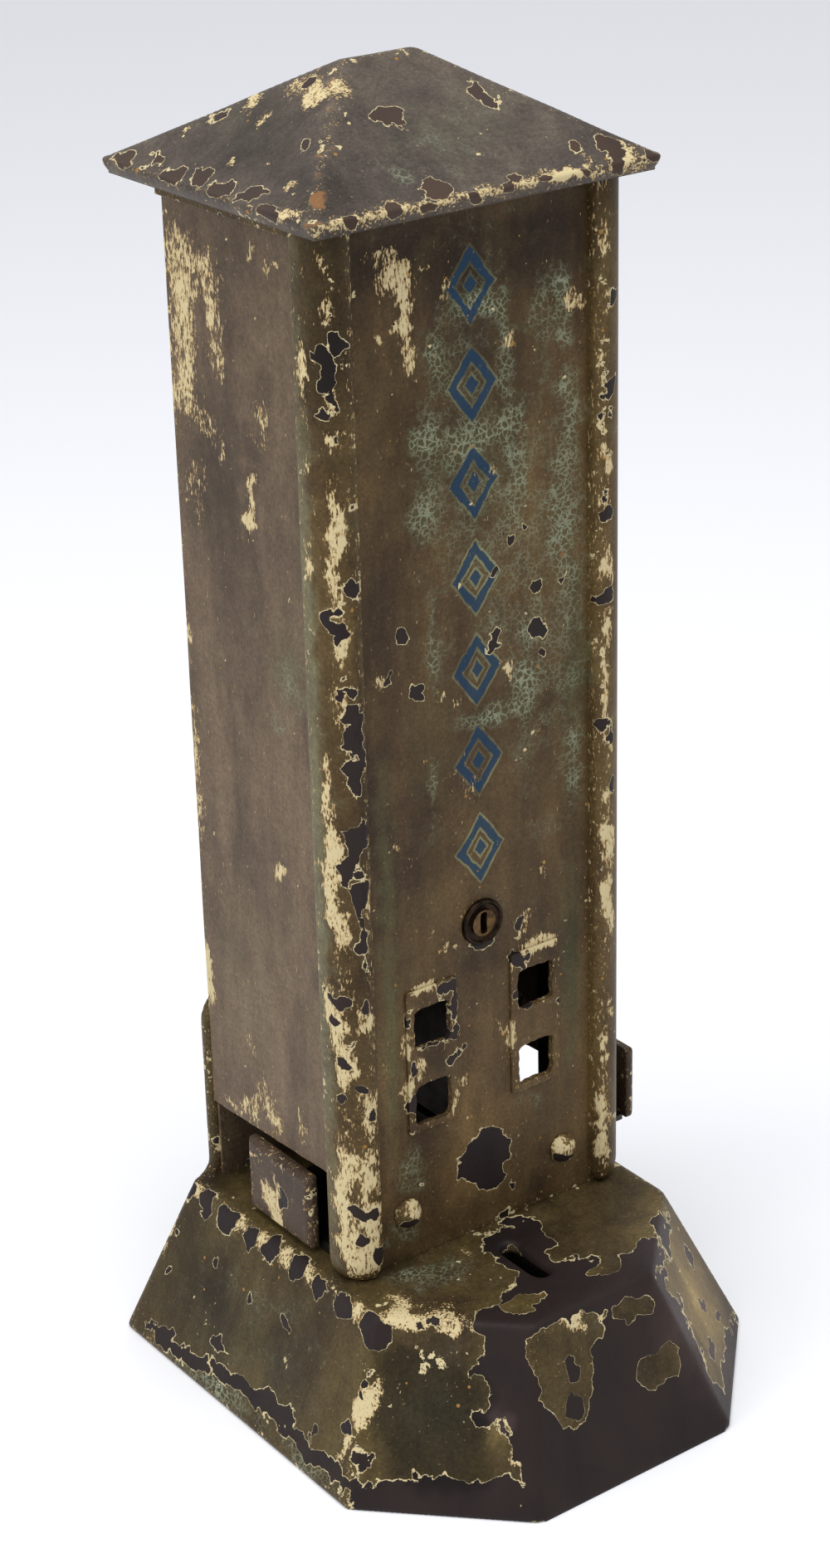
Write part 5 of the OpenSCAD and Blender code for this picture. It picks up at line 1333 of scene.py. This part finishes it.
# Nodes that keep their CAD shape, with their edges just broken
CAD_EASE = 0.15
FASTENERS = [
    "bottom_plate_screws", "chute_screws", "bracket_screws", "pawl_pin", "front_bolt_nuts",
    "foot_bracket_screws", "rail_screws", "lock_nut", "rear_lug_screws", "rear_lug_nuts",
    "push_plate_screws", "pusher_rivets", "cam_screw", "strap_rivets",
]
INNER_STEEL = [
    "bottom_plate", "coin_chute", "pawl_bracket", "front_foot_bracket", "column_divider", "left_box_guide",
    "right_box_guide", "front_slide_rail", "rear_slide_rail", "shuttle_bar", "box_pusher", "lock_cam",
    "roof_collar", "hold_down_strap", "coin_pawl", "pawl_counterweight",
]


def finish_inner_pieces():
    for names, material in ((FASTENERS, SCREW), (INNER_STEEL, STEEL_DARK_AS_SHADE), (["roof_soffit"], ROOF)):
        for name in names:
            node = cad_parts[name]
            node.data.materials.clear()
            node.data.materials.append(material)
            ease_edges(node, CAD_EASE, 1)


# Floor: emulsion paint, rolled on board. Plain, pale and matt, with a faint change in its sheen. Half its
# width is in metres, and the size of its grain in millimetres.
FLOOR_HALF = 15.0
FLOOR_GRAIN = 16.0


def build_floor():
    material, tree, at = new_material("white_emulsion_on_board")
    grain = add(tree, "TexNoise", {"Scale": 1 / FLOOR_GRAIN, "Detail": 3.0}, {"Vector": at})
    rough = add(tree, "MapRange", {"To Min": 0.5, "To Max": 0.7}, {"Value": grain})
    shader = add(tree, "BsdfPrincipled", {"Base Color": linear("#f7f7f9")}, {"Roughness": rough})
    add(tree, "OutputMaterial", {}, {"Surface": shader})
    corners = [(x * FLOOR_HALF, y * FLOOR_HALF, 0) for x, y in ((-1, -1), (1, -1), (1, 1), (-1, 1))]
    mesh = bpy.data.meshes.new("floor")
    mesh.from_pydata(corners, [], [(0, 1, 2, 3)])
    mesh.materials.append(material)
    floor = bpy.data.objects.new("floor", mesh)
    bpy.context.scene.collection.objects.link(floor)


# Light: a bright room and two softboxes that face the tower. Places and sizes are in metres, power in watts.
ROOM_LIGHT, ROOM_STRENGTH = "#f4f6fb", 0.78
LIT_PLACE = (0, 0, 0.2)


def softbox(name, at, size, power):
    data = bpy.data.lights.new(name, "AREA")
    data.shape = "RECTANGLE"
    data.size, data.size_y = size
    data.energy = power
    light = bpy.data.objects.new(name, data)
    light.location = at
    light.rotation_euler = (Vector(LIT_PLACE) - Vector(at)).to_track_quat("-Z", "Y").to_euler()
    bpy.context.scene.collection.objects.link(light)


def set_light():
    world = bpy.data.worlds.new("studio")
    world.use_nodes = True
    background = world.node_tree.nodes["Background"]
    background.inputs["Color"].default_value = linear(ROOM_LIGHT)
    background.inputs["Strength"].default_value = ROOM_STRENGTH
    bpy.context.scene.world = world
    softbox("overhead_softbox", at=(-0.25, -0.25, 1.65), size=(1.5, 1.1), power=17)
    softbox("left_softbox", at=(-1.5, 0.1, 0.9), size=(1.0, 1.2), power=7.5)
    bpy.context.scene.view_settings.view_transform = "Standard"


build_front()
build_sides()
build_back()
build_window_plates()
build_mouldings()
build_lock_barrel()
build_lock_plug()
build_roof()
build_castings_and_plates()
finish_inner_pieces()
set_camera()
build_floor()
set_light()
